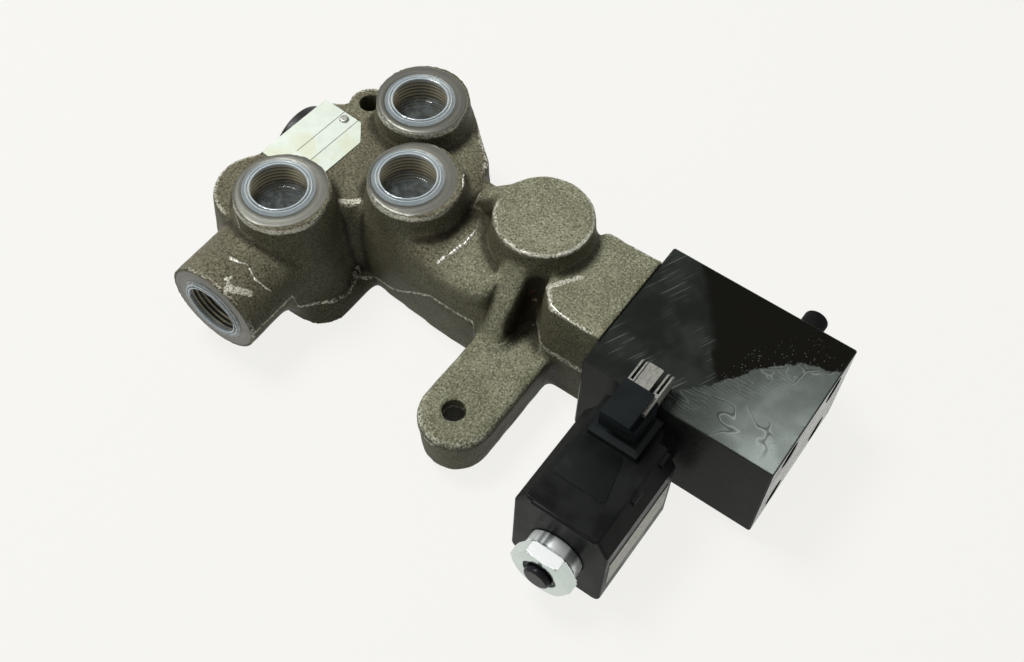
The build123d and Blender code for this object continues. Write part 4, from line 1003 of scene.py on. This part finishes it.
def nut_finish(back_y):
    """Bright zinc with painted light: the flat that faces the light painted near white as a highlight, and
    painted reflection bands round the collar.
    """
    f = Finish("zinc_bright")
    marks = f.noise(0.5, 3, 0.6, stretch=(0.4, 3.0, 0.4))
    f.base(f.mix(marks, (0.5, 0.57, 0.54), (0.66, 0.73, 0.7)))
    y, z = f.axis("Y"), f.axis("Z")
    # Painted highlight: the flat that faces the light is painted near white.
    lit = f.times(f.steps(z, COIL_Z + 10.8, COIL_Z + 10.95), f.steps(y, back_y - 5.7, back_y - 5.9))
    collar = f.steps(y, back_y - 5.45, back_y - 5.3)
    # Painted reflection: light and dark bands round the collar.
    painted_reflection_bands = f.steps(f.noise(0.34, 1.5, 0.5, stretch=(1.0, 0.03, 0.35)), 0.42, 0.56)
    f.paint(collar, f.mix(painted_reflection_bands, (0.2, 0.22, 0.21), (0.95, 0.99, 0.97)))
    f.paint(lit, f.mix(marks, (0.86, 0.89, 0.87), (0.95, 0.97, 0.95)))
    f.set("Metallic", f.minus(1.0, f.most(f.times(lit, 0.9), f.times(collar, 0.45))))
    f.set("Roughness", f.line(f.most(lit, collar), 0.1, 0.18))
    return f.material


def hexagon(step, reach, height):
    """The nut's reach at a step round it: over the collar, six flats cut it."""
    from_flat = math.radians(360 * step / AROUND % 60 - 30)
    return min(reach, NUT_FLATS / 2 / math.cos(from_flat)) if height > NUT_COLLAR_TOP else reach


def nut():
    """The hexagon nut with its collar, a flat turned up as in the photograph."""
    _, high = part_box("coil_nut")
    back_y = high.y / MM
    place, finish = (COIL_X, back_y, COIL_Z), nut_finish(back_y)
    piece = turned("nut_zinc", NUT_PROFILE, place, (0, -1, 0), finish, "zinc", True, 22, hexagon)
    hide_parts("coil_nut")


SPRING_SIDES, SPRING_STEPS = 10, 36    # round the wire, and for each turn
MAIN_SPRING = 7.7, 1.1, 4        # radius of the coil and of the wire, mm, and open turns
PILOT_SPRING = 2.9, 0.5, 3
MAIN_KEEP, PILOT_KEEP = 0.75, 0.725    # share of its length that a spring keeps at its joint's end
SPRING_GAP = 0.04                # left free at both ends of a spring, mm
CLOSED_PITCH = 2.05              # of the closed end turns, in radii of the wire


def spring(name, ends, radius, wire_r, turns, finish, joint, keep):
    """A wire spring with closed ends, between two points."""
    start, end = map(Vector, ends)
    along = (end - start).normalized()
    across = along.orthogonal().normalized()
    other = along.cross(across)
    margin = wire_r + SPRING_GAP
    length = (end - start).length - 2 * margin
    closed = CLOSED_PITCH * wire_r
    whole = turns + 2
    count = whole * SPRING_STEPS
    rows = []
    for step in range(count + 1):
        turn = whole * step / count
        height = closed + (length - 2 * closed) * (turn - 1) / turns
        if turn < 1:
            height = closed * turn
        elif turn > whole - 1:
            height = length - closed * (whole - turn)
        angle = 2 * math.pi * turn
        outward = across * math.cos(angle) + other * math.sin(angle)
        middle = start + along * (margin + height) + outward * radius
        rows.append([middle + (outward * cos + along * sin) * wire_r for cos, sin in circle(SPRING_SIDES)])
    piece = to_object(f"{name}_wire", *skinned(rows), finish, "spring_steel", 50)
    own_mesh(piece)
    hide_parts(name)


EDGE_BEVELS = ("coil_housing", 0.6), ("solenoid_block", 0.3)    # mm


def finish_nodes():
    """Materials for the CAD nodes that stay, and small bevels that catch the light."""
    steel = metal_finish("steel_ground", (0.42, 0.42, 0.41), (0.6, 0.6, 0.58), 0.3, (1, 8, 1))
    yoke = metal_finish("yoke_plated", (0.22, 0.225, 0.2), (0.46, 0.465, 0.42), 0.55, (1, 0.12, 2), 0.9, 0.8)
    tin = metal_finish("tin_matt", (0.2, 0.2, 0.18), (0.34, 0.34, 0.31), 0.52, (1, 0.2, 1), 2.0)
    rivet_colours = (0.3, 0.31, 0.28), (0.55, 0.56, 0.5)
    rivet = metal_finish("rivet_aluminium", *rivet_colours, 0.4, scale=1.6, dirt_share=0.8)
    copper = metal_finish("enamelled_copper", (0.5, 0.22, 0.1), (0.7, 0.34, 0.18), 0.3, (1, 9, 1))
    screw = metal_finish("screw_black", (0.03, 0.03, 0.03), (0.06, 0.06, 0.06), 0.4)
    cap = plastic_finish("black_cap_finish", (0.008, 0.008, 0.009), (0.016, 0.016, 0.017), 0.4)
    rubber = plastic_finish("rubber_black", (0.004, 0.004, 0.004), (0.008, 0.008, 0.008), 0.55, 0.06)
    button = plastic_finish("button_gloss", (0.008, 0.008, 0.009), (0.014, 0.014, 0.016), 0.2, 0.12)
    choices = (
        (plate_finish(), "type_plate"),
        (rivet, "plate_rivets"),
        (cap, "spool_end_cap"),
        (black_block_finish(), "solenoid_block"),
        (screw, "block_screws", "core_tube"),
        (steel, "drain_nipple", "main_spool", "armature", "push_pin", "pilot_spool"),
        (rubber, "nipple_cap", "end_cap_seal", "block_seals", "coil_seals"),
        (button, "override_button"),
        (yoke, "yoke_frame"),
        (copper, "coil_winding"),
        (coil_finish(), "coil_housing"),
        (tin, "contact_blades", "earth_blade"),
    )
    for material, *names in choices:
        for name in names:
            materials = frame["nodes"][name].data.materials
            materials.clear()
            materials.append(material)
    for name, width in EDGE_BEVELS:
        bevel = frame["nodes"][name].modifiers.new("soft_edges", "BEVEL")
        bevel.width = width * MM
        bevel.segments = 3
        bevel.limit_method = "ANGLE"
        bevel.angle_limit = math.radians(35)


def added_pieces():
    """The coil's pad and lip, the nut and the two springs."""
    coil_pad(plastic_finish("coil_pad_matt", (0.0055, 0.006, 0.0062), (0.008, 0.0088, 0.009), 0.5, 0.08))
    coil_lip(frame["nodes"]["coil_housing"].data.materials[0])
    nut()
    wire = metal_finish("spring_wire", (0.3, 0.3, 0.3), (0.45, 0.45, 0.44), 0.3)
    main_ends = (CAP_CUP_X, SPOOL_Y, SPOOL_Z), (SPOOL_LEFT_X, SPOOL_Y, SPOOL_Z)
    spring("main_spring", main_ends, *MAIN_SPRING, wire, "main_spool_slide", MAIN_KEEP)
    pilot_ends = (COIL_X, PILOT_BORE_END_Y, COIL_Z), (COIL_X, PILOT_SPOOL_Y1, COIL_Z)
    spring("pilot_spring", pilot_ends, *PILOT_SPRING, wire, "pilot_slide", PILOT_KEEP)


SENSOR_WIDTH = 36.0              # mm, any value: the lens follows it


def camera():
    """The photograph's camera, from the fit."""
    azimuth, elevation, roll = map(math.radians, (CAMERA_AZIMUTH, CAMERA_ELEVATION, CAMERA_ROLL))
    flat, high = math.cos(elevation), math.sin(elevation)
    back = Vector((math.sin(azimuth) * flat, -math.cos(azimuth) * flat, high))
    level = Vector((0, 0, 1)).cross(back).normalized()
    upright = back.cross(level)
    right = math.cos(roll) * level + math.sin(roll) * upright
    up = -math.sin(roll) * level + math.cos(roll) * upright
    data = bpy.data.cameras.new("camera")
    data.sensor_width = SENSOR_WIDTH
    data.lens = SENSOR_WIDTH * FOCAL_PIXELS / IMAGE_WIDTH
    data.clip_start = 0.01
    obj = placed("camera", data)
    turn = Matrix((right, up, back)).transposed().to_4x4()
    obj.matrix_world = Matrix.Translation(Vector(CAMERA_PLACE) * MM) @ turn
    bpy.context.scene.camera = obj


def lamp(name, place, target, size, power, colour=(1.0, 1.0, 1.0)):
    """A round soft lamp that faces the target, in metres and watts."""
    data = bpy.data.lights.new(name, "AREA")
    data.shape = "DISK"
    data.size = size
    data.energy = power
    data.color = colour
    obj = placed(name, data)
    obj.location = place
    obj.rotation_euler = (Vector(target) - Vector(place)).to_track_quat("-Z", "Y").to_euler()


BACKGROUND = (0.913, 0.905, 0.871)
SKY_LIGHT, SKY_STRENGTH = (0.95, 0.97, 1.0), 0.2
FLOOR_COLOUR = (0.94, 0.932, 0.897)
FLOOR_GLOW = 0.9                # share of the floor's look that doesn't come from the lamps
FLOOR_HALF_SIDE, FLOOR_GAP = 3.0, 0.0002    # m
CEILING_SHARE = 0.2              # how bright the world overhead is, seen in reflections


def seen_share(n):
    """1 for camera, glossy and transmission rays."""
    kinds = "Camera", "Glossy", "Transmission"
    return n.most(*(n.node("LightPath", output=f"Is {kind} Ray") for kind in kinds))


def world():
    """A soft world that lights the object plainly and is seen as the background, dimmer overhead."""
    made = bpy.data.worlds.new("studio")
    bpy.context.scene.world = made
    made.use_nodes = True
    n = Nodes(made.node_tree)
    plain = n.tree.nodes["Background"]
    n.link(SKY_LIGHT, plain.inputs["Color"])
    n.link(SKY_STRENGTH, plain.inputs["Strength"])
    height = n.node("SeparateXYZ", {0: n.node("TexCoord", output="Generated")}, "Z")
    dimmed = n.steps(height, 0.4, 0.75, 1.0, CEILING_SHARE)
    seen = n.node("Background", {"Color": BACKGROUND, "Strength": dimmed})
    mixed = n.node("MixShader", {0: seen_share(n), 1: plain.outputs[0], 2: seen})
    n.link(mixed, n.tree.nodes["World Output"].inputs["Surface"])


def floor():
    """A pale floor that keeps the object's shadow."""
    f = Finish("floor_pale", Roughness=0.9)
    cloud = f.node("TexNoise", {"Scale": 6.0}, "Fac")
    f.base(f.mix(cloud, (0.7, 0.695, 0.67), (0.72, 0.715, 0.69)))
    glow = f.node("Emission", {"Color": FLOOR_COLOUR})
    share = f.times(seen_share(f), FLOOR_GLOW)
    mixed = f.node("MixShader", {0: share, 1: f.shader.outputs[0], 2: glow})
    f.link(mixed, f.tree.nodes["Material Output"].inputs["Surface"])
    level = cad_box[0].z - FLOOR_GAP
    signs = (-1, -1), (1, -1), (1, 1), (-1, 1)
    mesh = bpy.data.meshes.new("floor")
    corners = [(x * FLOOR_HALF_SIDE, y * FLOOR_HALF_SIDE, level) for x, y in signs]
    mesh.from_pydata(corners, [], [(0, 1, 2, 3)])
    mesh.materials.append(f.material)
    placed("floor", mesh)


def studio():
    """The world, the floor and three soft lamps."""
    world()
    floor()
    lamp("key_above", (-0.4, 0.02, 0.93), (0.0, 0.04, 0.0), 0.34, 9.0)
    lamp("fill_front", (-0.4, -0.95, 0.5), (-0.03, 0.04, 0.02), 0.7, 1.8, (1.0, 0.99, 0.96))
    lamp("fill_back", (0.3, 1.1, 0.4), (0.0, 0.04, 0.02), 0.6, 1.5)
    bpy.context.scene.view_settings.view_transform = "Standard"


camera()
studio()
beads(cast_skin())
plugs(machined_faces())
finish_nodes()
added_pieces()
